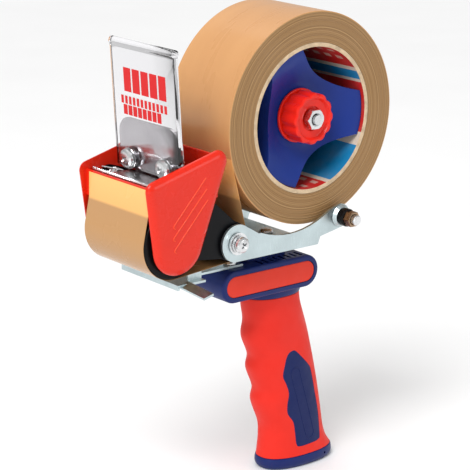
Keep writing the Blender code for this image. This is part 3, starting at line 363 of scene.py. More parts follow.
def lathe(name, profile, mats, steps=96, closed=False, index=None, matrix=None):
    """A piece turned about local Z from (radius, height) points; index gives each segment's material."""
    bm = bmesh.new()
    rings = []
    for radius, height in profile:
        if radius < 1e-6:
            rings.append([bm.verts.new((0.0, 0.0, height))])
        else:
            rings.append([bm.verts.new((x, y, height)) for x, y in circle(radius, steps)])
    pairs = list(zip(rings, rings[1:] + (rings[:1] if closed else [])))
    for segment, (a, b) in enumerate(pairs):
        for i in range(steps):
            j = (i + 1) % steps
            corners = [a[i % len(a)], a[j % len(a)], b[j % len(b)], b[i % len(b)]]
            face = bm.faces.new(list(dict.fromkeys(corners)))
            face.material_index = index[segment] if index else 0
    if matrix is not None:
        bmesh.ops.transform(bm, matrix=matrix, verts=bm.verts)
    return finished(name, bm, mats)


ALONG_Y = Matrix.Rotation(math.radians(-90), 4, "X")
TO_NEAR = Matrix.Rotation(math.radians(90), 4, "X")
TO_FRONT = Matrix.Rotation(math.radians(-90), 4, "Y")


def about(obj, axis, y=0.0):
    obj.location = (axis[0] * MM, y * MM, axis[1] * MM)
    return obj


def turned_y(name, profile, mats, axis, steps=96, closed=False, index=None):
    """A turned piece on an axis along Y: profile heights are world Y."""
    return about(lathe(name, profile, mats, steps, closed, index, ALONG_Y), axis)


def slab(name, loops, low, high, edge, mats, axis=(0.0, 0.0), smooth=32.0):
    """A plate in XZ between two Y planes with rounded edges. Loops after the first are holes."""
    curve = bpy.data.curves.new(name, "CURVE")
    curve.dimensions = "2D"
    curve.fill_mode = "BOTH"
    curve.bevel_depth = edge * MM
    curve.bevel_resolution = 2
    curve.offset = -edge * MM
    curve.extrude = (0.5 * (high - low) - edge) * MM
    for loop in loops:
        spline = curve.splines.new("POLY")
        spline.points.add(len(loop) - 1)
        spline.use_cyclic_u = True
        for point, (x, z) in zip(spline.points, loop):
            point.co = (x * MM, z * MM, 0.0, 1.0)
    drawn = bpy.data.objects.new(name + "_outline", curve)
    bpy.context.scene.collection.objects.link(drawn)
    bpy.context.view_layer.update()
    mesh = bpy.data.meshes.new_from_object(drawn.evaluated_get(bpy.context.evaluated_depsgraph_get()))
    bpy.data.objects.remove(drawn, do_unlink=True)
    bm = bmesh.new()
    bm.from_mesh(mesh)
    bpy.data.meshes.remove(mesh)
    turn = Matrix.Rotation(math.radians(90), 4, "X")
    bmesh.ops.transform(bm, matrix=turn, verts=bm.verts)
    bmesh.ops.translate(bm, vec=(0.0, 0.5 * (low + high) * MM, 0.0), verts=bm.verts)
    bmesh.ops.scale(bm, vec=(1 / MM, 1 / MM, 1 / MM), verts=bm.verts)
    for face in bm.faces:
        face.material_index = 0
    return about(finished(name, bm, mats, smooth), axis)


def block(name, low, high, edge, mats):
    bm = bmesh.new()
    bmesh.ops.create_cube(bm, size=1.0)
    bmesh.ops.scale(bm, vec=[b - a for a, b in zip(low, high)], verts=bm.verts)
    bmesh.ops.translate(bm, vec=[0.5 * (a + b) for a, b in zip(low, high)], verts=bm.verts)
    if edge:
        bmesh.ops.bevel(bm, geom=bm.edges[:], offset=edge, segments=3, affect="EDGES", profile=0.6)
    return finished(name, bm, mats)


def loft(name, sections, mats, index=0):
    bm = bmesh.new()
    rings = [[bm.verts.new(p) for p in points] for points in sections]
    count = len(rings[0])
    for upper, lower in zip(rings, rings[1:]):
        for i in range(count):
            j = (i + 1) % count
            bm.faces.new((upper[i], upper[j], lower[j], lower[i])).material_index = index
    bm.faces.new(rings[0]).material_index = index
    bm.faces.new(list(reversed(rings[-1]))).material_index = index
    return finished(name, bm, mats)


def sheet_along(name, path, low, high, thickness, mats):
    bm = bmesh.new()
    verts = [bm.verts.new((x, low, z)) for x, z in path]
    edges = [bm.edges.new(pair) for pair in zip(verts, verts[1:])]
    swept = bmesh.ops.extrude_edge_only(bm, edges=edges)["geom"]
    moved = [v for v in swept if isinstance(v, bmesh.types.BMVert)]
    bmesh.ops.translate(bm, vec=(0.0, high - low, 0.0), verts=moved)
    obj = finished(name, bm, mats)
    solid = obj.modifiers.new("thickness", "SOLIDIFY")
    solid.thickness = thickness * MM
    solid.offset = 0.0
    return applied(obj)


def applied(obj, smooth=32.0):
    """The object with its modifiers worked into its mesh."""
    bpy.context.view_layer.update()
    mesh = bpy.data.meshes.new_from_object(obj.evaluated_get(bpy.context.evaluated_depsgraph_get()))
    old = obj.data
    obj.modifiers.clear()
    obj.data = mesh
    bpy.data.meshes.remove(old)
    mesh.name = obj.name
    mesh.shade_smooth()
    mesh.set_sharp_from_angle(angle=math.radians(smooth))
    return obj


def combined(obj, others, operation="DIFFERENCE", smooth=32.0):
    for other in others:
        modifier = obj.modifiers.new("cut", "BOOLEAN")
        modifier.operation = operation
        modifier.solver = "EXACT"
        modifier.object = other
    applied(obj, smooth)
    for other in others:
        bpy.data.objects.remove(other, do_unlink=True)
    return obj


def edged(obj, width, segments=3, limit=30.0):
    bevel = obj.modifiers.new("edge", "BEVEL")
    bevel.width = width * MM
    bevel.segments = segments
    bevel.limit_method = "ANGLE"
    bevel.angle_limit = math.radians(limit)
    bevel.harden_normals = False
    return applied(obj)


def stands_for(obj, body, slot, *nodes):
    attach(obj, body)
    if nodes:
        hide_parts(*nodes)
    return obj


def dressed(look, *nodes):
    """Carried-over CAD nodes get a finer material."""
    for node in nodes:
        for slot in frame["nodes"][node].material_slots:
            slot.material = mat(look)


# ---------------------------------------------------------------- camera and studio

CAMERA_AT = Vector((-0.6664, -0.7315, 0.4098))
CAMERA_AZIMUTH = math.radians(-40.256)
CAMERA_ELEVATION = math.radians(15.732)
CAMERA_ROLL = math.radians(1.150)


def make_camera():
    a, e, roll = CAMERA_AZIMUTH, CAMERA_ELEVATION, CAMERA_ROLL
    right = Vector((math.cos(a), math.sin(a), 0.0))
    back = Vector((math.sin(a) * math.cos(e), -math.cos(a) * math.cos(e), math.sin(e)))
    up = back.cross(right)
    right, up = right * math.cos(roll) + up * math.sin(roll), up * math.cos(roll) - right * math.sin(roll)
    data = bpy.data.cameras.new("camera")
    data.lens = 142.57
    data.sensor_width = 36.0
    camera = bpy.data.objects.new("camera", data)
    camera.matrix_world = Matrix.Translation(CAMERA_AT) @ Matrix((right, up, back)).transposed().to_4x4()
    bpy.context.scene.collection.objects.link(camera)
    bpy.context.scene.camera = camera


def make_studio():
    world = bpy.data.worlds.new("studio")
    bpy.context.scene.world = world
    world.use_nodes = True
    background = world.node_tree.nodes["Background"]
    background.inputs["Color"].default_value = (1.0, 1.0, 1.0, 1.0)
    background.inputs["Strength"].default_value = 0.55
    bpy.context.scene.view_settings.view_transform = "Standard"
    sun = bpy.data.lights.new("sun", "SUN")
    sun.energy = 1.95
    sun.angle = math.radians(28)
    lamp = bpy.data.objects.new("sun", sun)
    lamp.rotation_euler = Vector((0.75, 0.35, -1.0)).to_track_quat("-Z", "Y").to_euler()
    bpy.context.scene.collection.objects.link(lamp)
    lamps = (
        ("key", (-0.85, -0.35, 0.75), 0.30, 1.0),
        ("side", (0.45, -1.05, 0.45), 0.4, 1.3),
        ("low", (-0.9, -0.5, 0.16), 0.35, 0.45),
        ("top", (0.1, 0.3, 0.9), 0.5, 1.1),
    )
    for name, at, size, watts in lamps:
        data = bpy.data.lights.new(name, "AREA")
        data.shape = "SQUARE"
        data.size = size
        data.energy = watts
        lamp = bpy.data.objects.new(name, data)
        lamp.location = at
        lamp.rotation_euler = (Vector((-0.04, 0.0, 0.16)) - Vector(at)).to_track_quat("-Z", "Y").to_euler()
        bpy.context.scene.collection.objects.link(lamp)
    floor = bpy.data.meshes.new("floor")
    half = 6.0
    corners = [(-half, -half, 0), (half, -half, 0), (half, half, 0), (-half, half, 0)]
    floor.from_pydata(corners, [], [(0, 1, 2, 3)])
    look = Look("floor", (0.93, 0.93, 0.93), 0.7)
    look.mottle(8.0, 0.01)
    floor.materials.append(look.mat)
    obj = bpy.data.objects.new("floor", floor)
    bpy.context.scene.collection.objects.link(obj)


make_camera()
make_studio()

# ---------------------------------------------------------------- tape


TAPE_HALF = 25.0
ROLL_RADIUS = 56.9
CORE_OUTER = 40.4
CORE_INNER = 38.1
STRIP_TOP = 181.0
STRIP_WALL_X = -124.4
GUIDE_RADIUS = 10.5
FRONT_RADIUS = 18.8


def build_tape():
    half = TAPE_HALF
    inner = CORE_OUTER + 0.1
    wall = []
    layers = 33
    for i in range(layers + 1):
        radius = inner + (ROLL_RADIUS - 0.35 - inner) * i / layers
        step = 0.10 * math.sin(i * 2.399) + 0.05 * math.sin(i * 5.1)
        wall.append((radius, min(0.0, step - 0.1)))
    near = [(r, -half - d) for r, d in wall]
    far = [(r, half + d) for r, d in reversed(wall)]
    profile = near + [(ROLL_RADIUS, -half + 0.3), (ROLL_RADIUS, half - 0.3)] + far
    index = [1] * layers + [0, 0, 0] + [1] * layers + [1]
    roll = turned_y("roll_of_tape", profile, [mat("tape_face"), mat("tape_side")], SPOOL, 192, True, index)
    stands_for(roll, "spool", "tape_film", "tape_roll")

    profile = softened(
        [(CORE_INNER, -half), (CORE_OUTER, -half), (CORE_OUTER, half), (CORE_INNER, half)], 0.35, True, 3
    )
    index = [1] * len(profile)
    index[-1] = 0
    core = turned_y("board_core", profile, [mat("core_print"), mat("core_board")], SPOOL, 144, True, index)
    stands_for(core, "spool", "core_board", "tape_core")


def outer_tangent(a, ra, b, rb):
    dx, dz = b[0] - a[0], b[1] - a[1]
    return math.degrees(math.atan2(dz, dx) + math.acos((ra - rb) / math.hypot(dx, dz)))


def inner_tangent(a, ra, b, rb):
    dx, dz = b[0] - a[0], b[1] - a[1]
    return math.degrees(math.atan2(dz, dx) - math.acos((ra + rb) / math.hypot(dx, dz)))


def build_web():
    """The tape from the roll round both rollers and up the guard's front wall."""
    off = 0.3
    spool_r, guide_r, front_r = ROLL_RADIUS + off, GUIDE_RADIUS + off, FRONT_RADIUS + off
    leave = inner_tangent(SPOOL, spool_r, GUIDE, guide_r)
    under = outer_tangent(GUIDE, guide_r, FRONT, front_r)
    wall_x = STRIP_WALL_X - off
    foot = (wall_x, 168.0)
    dx, dz = foot[0] - FRONT[0], foot[1] - FRONT[1]
    away = math.degrees(math.atan2(dz, dx) + math.acos(front_r / math.hypot(dx, dz)))
    path = arc(SPOOL, spool_r, leave - 1.0, leave, 2)
    path += arc(GUIDE, guide_r, leave + 180.0, under - 360.0, 28)
    path += arc(FRONT, front_r, under, away, 56)
    path += [foot, (wall_x, 175.0), (wall_x, STRIP_TOP)]
    web = sheet_along("tape_strip", path, -TAPE_HALF, TAPE_HALF, 0.12, [mat("tape_strip")])
    stands_for(web, "root", "tape_film", "tape_web")


build_tape()
build_web()

# ---------------------------------------------------------------- rollers


def build_rollers():
    half = 25.6
    sleeve = [(12.3, half), (18.2, half), (18.8, half - 0.6)]
    sleeve += [(18.8, -half + 0.6), (18.2, -half), (12.3, -half)]
    sleeve = softened(sleeve, 0.4, True, 3)
    obj = turned_y("front_sleeve", sleeve, [mat("black_rubber")], FRONT, 128, True)
    stands_for(obj, "front_roller_body", "black_rubber", "front_roller_sleeve")
    guide = [(3.3, half), (9.9, half), (10.5, half - 0.6), (10.5, -half + 0.6), (9.9, -half), (3.3, -half)]
    obj = turned_y("guide_tube", softened(guide, 0.4, True, 3), [mat("black_rubber")], GUIDE, 96, True)
    stands_for(obj, "guide_roller_body", "black_rubber", "guide_roller")


build_rollers()

# ---------------------------------------------------------------- hub and brake

HUB_ARMS = (118.0, -2.0, -122.0)
HUB_RADIUS = 37.6
HUB_HOLLOW = 5.0
HUB_HALF_TIP = 18.5
HUB_FACE = -22.6
HUB_DISH = 9.6
KNOB_FRONT = -26.6
KNOB_RADIUS = 13.9
DISC_RADIUS = 14.6


def hub_outline():
    """Three arms on the core, with a hollow edge between each pair."""
    points = []
    for i, middle in enumerate(HUB_ARMS):
        start = middle - HUB_HALF_TIP
        end = HUB_ARMS[(i + 1) % 3] + HUB_HALF_TIP
        points += arc((0.0, 0.0), HUB_RADIUS, middle + HUB_HALF_TIP, start, 14)
        points += hollow(polar(HUB_RADIUS, start), polar(HUB_RADIUS, end), HUB_HOLLOW, 30)
    return points


def polar(radius, degrees):
    angle = math.radians(degrees)
    return Vector((radius * math.cos(angle), radius * math.sin(angle)))


def hollow(a, b, depth, count):
    """Points between a and b on a curve that sinks towards the axis by depth."""
    inward = -0.5 * (a + b).normalized()
    points = []
    for k in range(1, count):
        t = k / count
        points.append(tuple(a.lerp(b, t) + inward * depth * 8 * t * (1 - t)))
    return points


def build_hub():
    hub = slab("spool_hub", [hub_outline()], HUB_FACE, 26.0, 0.01, [mat("hub_blue")])
    dish = [(0.0, 6.0), (50.0, 6.0), (50.0, 0.4), (37.0, 0.0), (33.0, -1.1), (28.0, -3.6), (23.0, -6.6)]
    dish += [(19.0, -8.8), (16.4, -HUB_DISH), (0.0, -HUB_DISH)]
    cutter = lathe("dish", dish, [], 120, False, None, TO_NEAR)
    cutter.location = (0.0, HUB_FACE * MM, 0.0)
    room = [(14.0, -9.0), (34.6, -9.0), (34.6, 25.4), (14.0, 25.4)]
    inside = lathe("room", room, [], 96, True, None, ALONG_Y)
    combined(hub, [cutter, inside])
    rim = softened([(6.0, 25.4), (44.0, 25.4), (44.0, 27.4), (6.0, 27.4)], 0.5)
    combined(hub, [lathe("flange", rim, [], 120, True, None, ALONG_Y)], "UNION")
    bore = [(0.0, -40.0), (4.3, -40.0), (4.3, 40.0), (0.0, 40.0)]
    combined(hub, [lathe("bore", bore, [], 48, False, None, ALONG_Y)])
    edged(hub, 0.6, 3, 50.0)
    stands_for(about(hub, SPOOL), "spool", "hub_plastic", "hub")


def build_brake():
    y = HUB_FACE + HUB_DISH - 0.3
    profile = softened([(4.4, y - 1.6), (DISC_RADIUS, y - 1.6), (DISC_RADIUS, y), (4.4, y)], 0.5)
    disc = turned_y("friction_disc", profile, [mat("knob_red")], SPOOL, 96, True)
    stands_for(disc, "root", "red_gloss", "brake_disc")

    back, front = y - 1.9, KNOB_FRONT
    side = [(-3.0, back), (-0.7, back), (0.0, back - 0.7)]
    side += [(0.0, front + 1.5), (-0.3, front + 0.6), (-1.1, front)]
    teeth = 12
    count = teeth * 12
    bm = bmesh.new()
    rings = []
    for grow, at in side:
        ring = []
        for i in range(count):
            a = 2 * math.pi * i / count
            r = KNOB_RADIUS + grow - (0.5 - 0.5 * math.cos(teeth * a)) ** 1.6
            ring.append(bm.verts.new((r * math.cos(a), at, r * math.sin(a))))
        rings.append(ring)
    face = [(11.4, 0.1), (10.9, 0.8), (10.3, 1.7), (9.2, 2.0), (7.2, 1.8)]
    face += [(6.6, 2.0), (6.4, 3.1), (3.4, 3.2), (3.4, 3.9), (8.4, 4.0)]
    for radius, depth in face:
        rings.append([bm.verts.new((x, front + depth, z)) for x, z in circle(radius, count)])
    rings.append([bm.verts.new((x, back, z)) for x, z in circle(8.4, count)])
    for a, b in zip(rings, rings[1:] + rings[:1]):
        for i in range(count):
            j = (i + 1) % count
            bm.faces.new((a[i], a[j], b[j], b[i]))
    knob = about(finished("scalloped_knob", bm, [mat("knob_red")]), SPOOL)
    stands_for(knob, "knob", "red_gloss", "brake_knob")

    nut = hex_nut("axle_nut", 10.0, 2.9, 4.0, "bright")
    nut.matrix_world = Matrix.Translation((SPOOL[0] * MM, (front + 2.3) * MM, SPOOL[1] * MM)) @ TO_NEAR
    stands_for(nut, "root", "bright_steel", "brake_nut")


def hex_nut(name, across, bore, thickness, look):
    """A nut along local Z whose corners are turned down, as the real ones are."""
    corner = 0.5 * across / math.cos(math.radians(30))
    nut = lathe(name, [(0.0, 0.0), (corner, 0.0), (corner, thickness), (0.0, thickness)], [mat(look)], 6)
    ball = [(0.0, -0.2), (0.5 * across, -0.2), (corner + 0.2, 0.7), (corner + 0.2, thickness - 0.7)]
    ball += [(0.5 * across, thickness + 0.2), (0.0, thickness + 0.2)]
    combined(nut, [lathe("turn_down", ball, [], 72)], "INTERSECT")
    hole = [(0.0, -1.0), (bore + 0.7, -1.0), (bore + 0.7, 0.0), (bore, 0.7), (bore, thickness - 0.7)]
    hole += [(bore + 0.7, thickness), (bore + 0.7, thickness + 1.0), (0.0, thickness + 1.0)]
    return combined(nut, [lathe("hole", hole, [], 40)])


def cross_screw(name, head, height, shank, length, look):
    """A pan-head screw along local Z, its head's underside at 0, with a tapering cross recess."""
    profile = [(0.0, height), (0.45 * head, 0.98 * height), (0.75 * head, 0.86 * height)]
    profile += [(0.93 * head, 0.6 * height), (head, 0.25 * height), (0.98 * head, 0.04 * height)]
    profile += [(0.93 * head, 0.0), (shank, 0.0)]
    turns = int(length / 0.8)
    for i in range(turns):
        z = -0.4 - i * 0.8
        profile += [(shank - 0.28, z), (shank, z - 0.4)]
    profile.append((0.0, -length))
    screw = lathe(name, profile, [mat(look)], 48)
    cutters = []
    for turn in (0.0, 90.0):
        ends = ((0.5 * head, 0.5, height + 0.3), (0.18 * head, 0.3, 0.35 * height))
        bar = loft("bar", [[(x, y, z), (-x, y, z), (-x, -y, z), (x, -y, z)] for x, y, z in ends], [])
        bar.rotation_euler = (0.0, 0.0, math.radians(turn + 38.0))
        cutters.append(bar)
    return combined(screw, cutters, "DIFFERENCE", 22.0)


build_hub()
build_brake()

# ---------------------------------------------------------------- guard

GUARD_IN, GUARD_OUT = 27.6, 30.6
GUARD_NEAR = ((-108.2, 150.7, 15.5), (-123.8, 181.2, 4.8), (-83.6, 190.6, 6.0))
GUARD_FAR = ((-108.2, 150.7, 15.5), (-123.8, 181.2, 4.8), (-76.6, 192.6, 6.0))
GUARD_FRONT_X, GUARD_WALL = -124.4, 1.4
GUARD_FRONT_TOP = 181.8
GUARD_REAR_X, GUARD_REAR_TOP = -84.0, 194.2
GUARD_RIBS = (
    ((-113.4, 161.5), (-92.7, 184.1)),
    ((-113.4, 155.2), (-92.0, 178.3)),
    ((-112.6, 148.9), (-91.2, 172.5)),
)


def round_hull(circles, inset, count=216):
    """The outline round some circles, drawn in by inset, with one point for each direction."""
    points = []
    for i in range(count):
        a = 2 * math.pi * i / count
        n = (math.cos(a), math.sin(a))
        x, z, r = max(circles, key=lambda c: c[0] * n[0] + c[1] * n[1] + c[2])
        reach = max(r - inset, 0.05)
        points.append((x + reach * n[0], z + reach * n[1]))
    return points


def guard_side(name, circles, side):
    steps = [(GUARD_IN, 0.0), (GUARD_IN + 0.15, 0.0)]
    rise, roll = GUARD_OUT - GUARD_IN - 0.15, 4.6
    for k in range(10):
        a = math.radians(90.0 * k / 9)
        steps.append((GUARD_IN + 0.15 + rise * math.sin(a), roll * (1 - math.cos(a))))
    sections = [[(x, side * y, z) for x, z in round_hull(circles, inset)] for y, inset in steps]
    return loft(name, sections, [mat("guard_red")])


def build_guard():
    guard = guard_side("blade_guard", GUARD_NEAR, -1)
    reach = GUARD_IN + 0.5
    front_high = (GUARD_FRONT_X + GUARD_WALL, reach, GUARD_FRONT_TOP)
    rear_high = (GUARD_REAR_X + GUARD_WALL, reach, GUARD_REAR_TOP)
    walls = [
        guard_side("far_side", GUARD_FAR, 1),
        block("front_wall", (GUARD_FRONT_X, -reach, 168.0), front_high, 0.4, []),
        block("rear_wall", (GUARD_REAR_X, -reach, 172.0), rear_high, 0.4, []),
    ]
    combined(guard, walls, "UNION")
    stands_for(guard, "root", "red_gloss", "guard")
    for k, (foot, top) in enumerate(GUARD_RIBS):
        hook = (foot[0] + 1.6, foot[1] - 1.0)
        path = softened([top, foot, hook], 1.6, False, 5)
        # Each rib line gets the lighter rib colour, a painted highlight along the raised line.
        rib = tube(f"guard_rib_{k + 1}", [(x, -GUARD_OUT, z) for x, z in path], 0.3, [mat("rib_painted_highlight")])
        stands_for(rib, "root", "red_gloss")


def tube(name, points, radius, mats):
    curve = bpy.data.curves.new(name, "CURVE")
    curve.dimensions = "3D"
    curve.bevel_depth = radius * MM
    curve.bevel_resolution = 3
    curve.use_fill_caps = True
    spline = curve.splines.new("POLY")
    spline.points.add(len(points) - 1)
    for point, (x, y, z) in zip(spline.points, points):
        point.co = (x * MM, y * MM, z * MM, 1.0)
    for m in mats:
        curve.materials.append(m)
    obj = bpy.data.objects.new(name, curve)
    bpy.context.scene.collection.objects.link(obj)
    return obj


build_guard()

# ---------------------------------------------------------------- handle

GRIP_SECTIONS = (  # height, front x, rear x, half width
    (103.0, -39.4, -3.4, 11.9),
    (97.0, -38.8, -2.4, 11.9),
    (89.0, -37.4, 0.4, 12.0),
    (80.0, -38.5, 3.6, 12.2),
    (68.5, -33.7, 6.8, 12.2),
    (60.6, -34.6, 9.0, 12.4),
    (48.5, -29.6, 11.9, 12.3),
    (40.7, -30.6, 13.7, 12.4),
    (27.0, -25.0, 16.4, 12.2),
    (19.0, -24.2, 18.0, 12.2),
    (12.0, -24.7, 20.6, 12.5),
    (7.0, -25.4, 24.2, 12.9),
)
CAP_SECTIONS = (
    (6.7, -25.5, 24.3, 13.0),
    (6.4, -25.8, 24.6, 13.2),
    (4.6, -26.1, 25.0, 13.5),
    (2.6, -25.9, 25.2, 13.4),
    (1.2, -25.1, 24.7, 12.8),
    (0.4, -24.4, 24.0, 12.2),
    (0.0, -23.6, 23.4, 11.6),
)
POWER = 2.3


def spline_value(t, p, q, r, s):
    """A Catmull-Rom spline's value at t between q and r."""
    bend = (2 * p - 5 * q + 4 * r - s) * t**2
    return 0.5 * (2 * q + (r - p) * t + bend + (3 * q - p - 3 * r + s) * t**3)


def smooth_through(rows, steps, closed=False):
    ends = [rows[-1], *rows, rows[0], rows[1]] if closed else [rows[0], *rows, rows[-1]]
    out = []
    for a, b, c, d in zip(ends, ends[1:], ends[2:], ends[3:]):
        for i in range(steps):
            t = i / steps
            out.append(tuple(spline_value(t, *near) for near in zip(a, b, c, d)))
    return out if closed else [*out, tuple(rows[-1])]


def section(front, rear, half, z, count=72):
    middle, reach = 0.5 * (front + rear), 0.5 * (rear - front)
    points = []
    for i in range(count):
        a = 2 * math.pi * i / count
        c, s = math.cos(a), math.sin(a)
        x = middle + reach * math.copysign(abs(c) ** (2 / POWER), c)
        points.append((x, half * math.copysign(abs(s) ** (2 / POWER), s), z))
    return points


def grip_skin(name, grow, mats, steps=7):
    rows = smooth_through(GRIP_SECTIONS, steps)
    return loft(name, [section(f - grow, r + grow, h + grow, z) for z, f, r, h in rows], mats)


def grip_side_y(x, z):
    """How far the grip's side stands from the middle plane at a place."""
    rows = smooth_through(GRIP_SECTIONS, 12)
    z_row = min(rows, key=lambda row: abs(row[0] - z))
    _, front, rear, half = z_row
    u = min(0.999, abs(x - 0.5 * (front + rear)) / (0.5 * (rear - front)))
    return half * (1 - u**POWER) ** (1 / POWER)


INSET = (
    (-14.2, 70.8), (-17.4, 69.0), (-19.3, 63.4), (-20.2, 57.0), (-17.6, 51.6), (-15.6, 46.0),
    (-16.4, 39.6), (-15.6, 33.6), (-11.6, 28.0), (-10.0, 21.0), (-9.0, 14.4), (-6.8, 12.4),
    (0.6, 12.4), (8.2, 12.9), (10.0, 15.6), (8.6, 30.0), (5.2, 43.0), (1.8, 55.6),
    (-0.4, 59.4), (-6.0, 65.0), (-11.4, 70.0),
)


def build_handle():
    outline = smooth_through(INSET, 4, True)
    grip = grip_skin("soft_grip", 0.0, [mat("grip_red")])
    sides = (("near", -30.0, -6.0), ("far", 6.0, 30.0))
    combined(grip, [slab("pocket", [outline], a, b, 0.01, []) for _, a, b in sides])
    core = grip_skin("grip_core", -1.6, [mat("grip_red")], 4)
    combined(grip, [core], "UNION")
    edged(grip, 0.25, 2, 50.0)
    stands_for(grip, "root", "grip_rubber", "handle_grip")
    for label, low, high in sides:
        panel = slab(f"palm_panel_{label}", [outline], low, high, 0.01, [mat("inset_blue")])
        combined(panel, [grip_skin("outer", -0.08, [])], "INTERSECT")
        combined(panel, [grip_skin("inner", -1.5, [])])
        edged(panel, 0.3, 2, 50.0)
        stands_for(panel, "root", "head_plastic", f"grip_inset_{label}")
        side = -1 if label == "near" else 1
        path = groove_path()
        points = [(x, side * (grip_side_y(x, z) - 0.1), z) for x, z in path]
        groove = tube(f"panel_line_{label}", points, 0.2, [mat("inset_blue")])
        stands_for(groove, "root", "head_plastic")
    cap_rows = smooth_through(CAP_SECTIONS, 3)
    cap = loft("base_cap", [section(f, r, h, z, 96) for z, f, r, h in cap_rows], [mat("head_blue")])
    hole = [(0.0, -1.0), (4.4, -1.0), (4.4, 3.0), (2.3, 3.0), (2.3, 9.0), (0.0, 9.0)]
    cutter = lathe("seat", hole, [], 48)
    cutter.location = (-8.0 * MM, 0.0, 0.0)
    pin_profile = [(0.0, -3.0), (0.8, -3.0), (0.8, 3.0), (0.0, 3.0)]
    pin = lathe("pin_hole", pin_profile, [], 24, False, None, ALONG_Y)
    pin.location = (13.0 * MM, -13.0 * MM, 3.9 * MM)
    combined(cap, [cutter, pin])
    stands_for(cap, "root", "head_plastic", "end_cap")


def groove_path():
    top, foot, half = (-11.5, 57.5), (1.0, 19.0), 3.1
    lean = math.degrees(math.atan2(top[1] - foot[1], top[0] - foot[0]))
    path = arc(top, half, lean + 90, lean - 90, 14) + arc(foot, half, lean - 90, lean - 270, 14)
    straight = []
    for a, b in zip(path, path[1:] + path[:1]):
        steps = max(1, int(math.dist(a, b) / 2.0))
        for i in range(steps):
            straight.append((a[0] + (b[0] - a[0]) * i / steps, a[1] + (b[1] - a[1]) * i / steps))
    return straight + straight[:1]


HEAD = (-69.9, -2.0, 108.5, 126.4)
HEAD_HALF = 18.0


def bar_outline(low_x, high_x, low_z, high_z, count=24):
    r, m = 0.5 * (high_z - low_z), 0.5 * (low_z + high_z)
    return arc((high_x - r, m), r, -90, 90, count) + arc((low_x + r, m), r, 90, 270, count)


def build_head():
    low_x, high_x, low_z, high_z = HEAD
    head = slab("head_block", [bar_outline(*HEAD)], -HEAD_HALF, HEAD_HALF, 1.3, [mat("head_blue")])
    rim = 3.0
    pocket = bar_outline(low_x + rim, high_x - rim, low_z + rim, high_z - rim)
    planes = ((-HEAD_HALF - 4.0, -HEAD_HALF + 1.6), (HEAD_HALF - 1.6, HEAD_HALF + 4.0))
    slots = []
    for i in range(8):
        x = -12.5 - 4.0 * i
        for a, b in ((-15.6, -9.0), (9.0, 15.6)):
            slots.append(block("slot", (x - 0.9, a, high_z - 3.0), (x + 0.9, b, high_z + 3.0), 0.0, []))
    combined(head, [slab("pocket", [pocket], a, b, 0.01, []) for a, b in planes] + slots)
    _, top = box_mm("handle_head")
    levels = ((109.5, 0.9), (106.5, 0.5), (104.4, 0.5), (103.5, 0.2), (103.3, 0.0))
    collar = [section(-39.4 - g, -3.4 + g, 11.9 + g, z, 96) for z, g in levels]
    pedestal = block("pedestal", (-45.0, -8.0, high_z - 1.0), (-18.0, 8.0, top[2]), 0.4, [])
    combined(head, [pedestal, loft("collar", collar, [])], "UNION")
    holes = []
    for x in (-38.0, -25.0):
        holes.append(lathe("hole", [(0.0, 126.3), (2.4, 126.3), (2.4, 140.0), (0.0, 140.0)], [], 32))
        holes[-1].location = (x * MM, 0.0, 0.0)
    for y in (-9.0, 9.0):
        holes.append(lathe("hole", [(0.0, 119.4), (2.2, 119.4), (2.2, 130.0), (0.0, 130.0)], [], 32))
        holes[-1].location = (-58.0 * MM, y * MM, 0.0)
    combined(head, holes)
    stands_for(head, "root", "head_plastic", "handle_head")
    rim += 0.2
    shape = bar_outline(low_x + rim, high_x - rim, low_z + rim, high_z - rim)
    sides = (("near", -HEAD_HALF + 0.15, -HEAD_HALF + 1.4), ("far", HEAD_HALF - 1.4, HEAD_HALF - 0.15))
    for label, a, b in sides:
        inlay = slab(f"side_inlay_{label}", [shape], a, b, 0.35, [mat("inlay_red")])
        stands_for(inlay, "root", "grip_rubber", f"head_inlay_{label}")


build_handle()
build_head()

# ---------------------------------------------------------------- frame details


def build_arm_hardware():
    low, _ = box_mm("guide_screw_near")
    screw = cross_screw("arm_screw", 4.3, 2.8, 2.0, 9.0, "bright")
    screw.matrix_world = Matrix.Translation((GUIDE[0] * MM, (low[1] + 2.8) * MM, GUIDE[1] * MM)) @ TO_NEAR
    stands_for(screw, "root", "bright_steel", "guide_screw_near")


build_arm_hardware()

# ---------------------------------------------------------------- flap

FLAP_FOOT = (-101.9, 182.0)
FLAP_LEAN = math.radians(4.7)
FLAP_HALF = 26.0
FLAP_BACK, FLAP_FRONT = -0.9, -3.9
FLAP_SCREW_Y, FLAP_SCREW_Z = 15.0, 5.8
ON_FLAP = Matrix.Translation((FLAP_FOOT[0] * MM, 0.0, FLAP_FOOT[1] * MM))
ON_FLAP = ON_FLAP @ Matrix.Rotation(-FLAP_LEAN, 4, "Y")


def on_flap(obj, x=0.0, y=0.0, z=0.0, turn=None):
    obj.matrix_world = ON_FLAP @ Matrix.Translation((x * MM, y * MM, z * MM)) @ (turn or Matrix())
    return obj


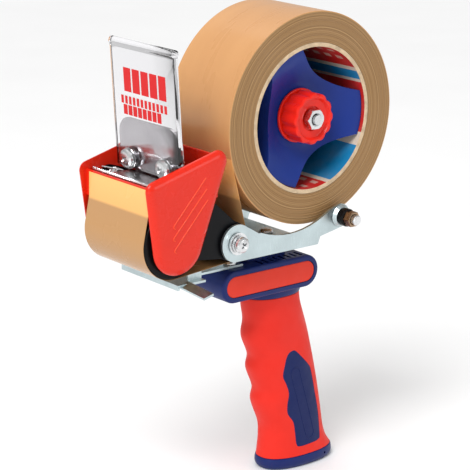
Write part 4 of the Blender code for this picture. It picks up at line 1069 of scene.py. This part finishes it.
def build_flap():
    thick = [(FLAP_FRONT, 0.8), (FLAP_BACK, 0.8), (FLAP_BACK, 63.5)]
    bead = arc((-2.4, 66.0), 2.2, -38, 218, 20)
    outline = softened(thick[:2], 0.0) + [thick[2]] + bead + [(FLAP_FRONT, 63.5)]
    flap = slab("clear_plate", [outline], -FLAP_HALF, FLAP_HALF, 0.01, [mat("clear")], smooth=20.0)
    holes = []
    for y in (-FLAP_SCREW_Y, FLAP_SCREW_Y):
        hole = lathe("hole", [(0.0, -12.0), (2.7, -12.0), (2.7, 12.0), (0.0, 12.0)], [], 40)
        hole.matrix_world = Matrix.Translation((0.0, y * MM, FLAP_SCREW_Z * MM)) @ TO_FRONT
        holes.append(hole)
    combined(flap, holes, "DIFFERENCE", 20.0)
    stands_for(on_flap(flap), "flap", "clear_acrylic", "clear_flap")
    for label, y in (("near", -FLAP_SCREW_Y), ("far", FLAP_SCREW_Y)):
        screw = cross_screw(f"plate_screw_{label}", 5.2, 2.6, 2.3, 10.0, "bright")
        on_flap(screw, FLAP_FRONT - 1.3, y, FLAP_SCREW_Z, TO_FRONT)
        stands_for(screw, "flap", "bright_steel", f"flap_screw_{label}")
    rows = (  # height, dash height, left, right, number of dashes, share of each that is printed
        (47.5, 12.5, -19.0, 17.0, 5, 0.82),
        (36.8, 4.2, -19.0, 20.0, 12, 0.62),
        (31.6, 5.2, -14.0, 18.0, 8, 0.80),
    )
    for r, (z, tall, left, right, count, share) in enumerate(rows):
        pitch = (right - left) / count
        for i in range(count):
            wide = pitch * share
            low = (FLAP_FRONT - 0.12, left + i * pitch, z - 0.5 * tall)
            high = (FLAP_FRONT - 0.02, left + i * pitch + wide, z + 0.5 * tall)
            dash = block(f"print_{r + 1}_{i + 1}", low, high, 0.0, [mat("ink")])
            stands_for(on_flap(dash), "flap", "clear_acrylic")


build_flap()

# ---------------------------------------------------------------- carried-over nodes


dressed("black_rubber", "front_roller_core")
dressed("black_paint", "side_plate", "link_near", "link_far")
dressed("bright", *sorted(n for n in NODES if "screw" in n or "washer" in n or "nut" in n or "axle" in n))
dressed("bright", "flap_pin", "flap_spring", "brake_spring", "bumper_stud", "hub_bush", "blade")
dressed("plate", "flap_plate")
dressed("zinc", "frame_channel", "rest_plate", "bumper_collar")
dressed("bronze", "bumper_nut")
dressed("black_rubber", "bumper_ring")
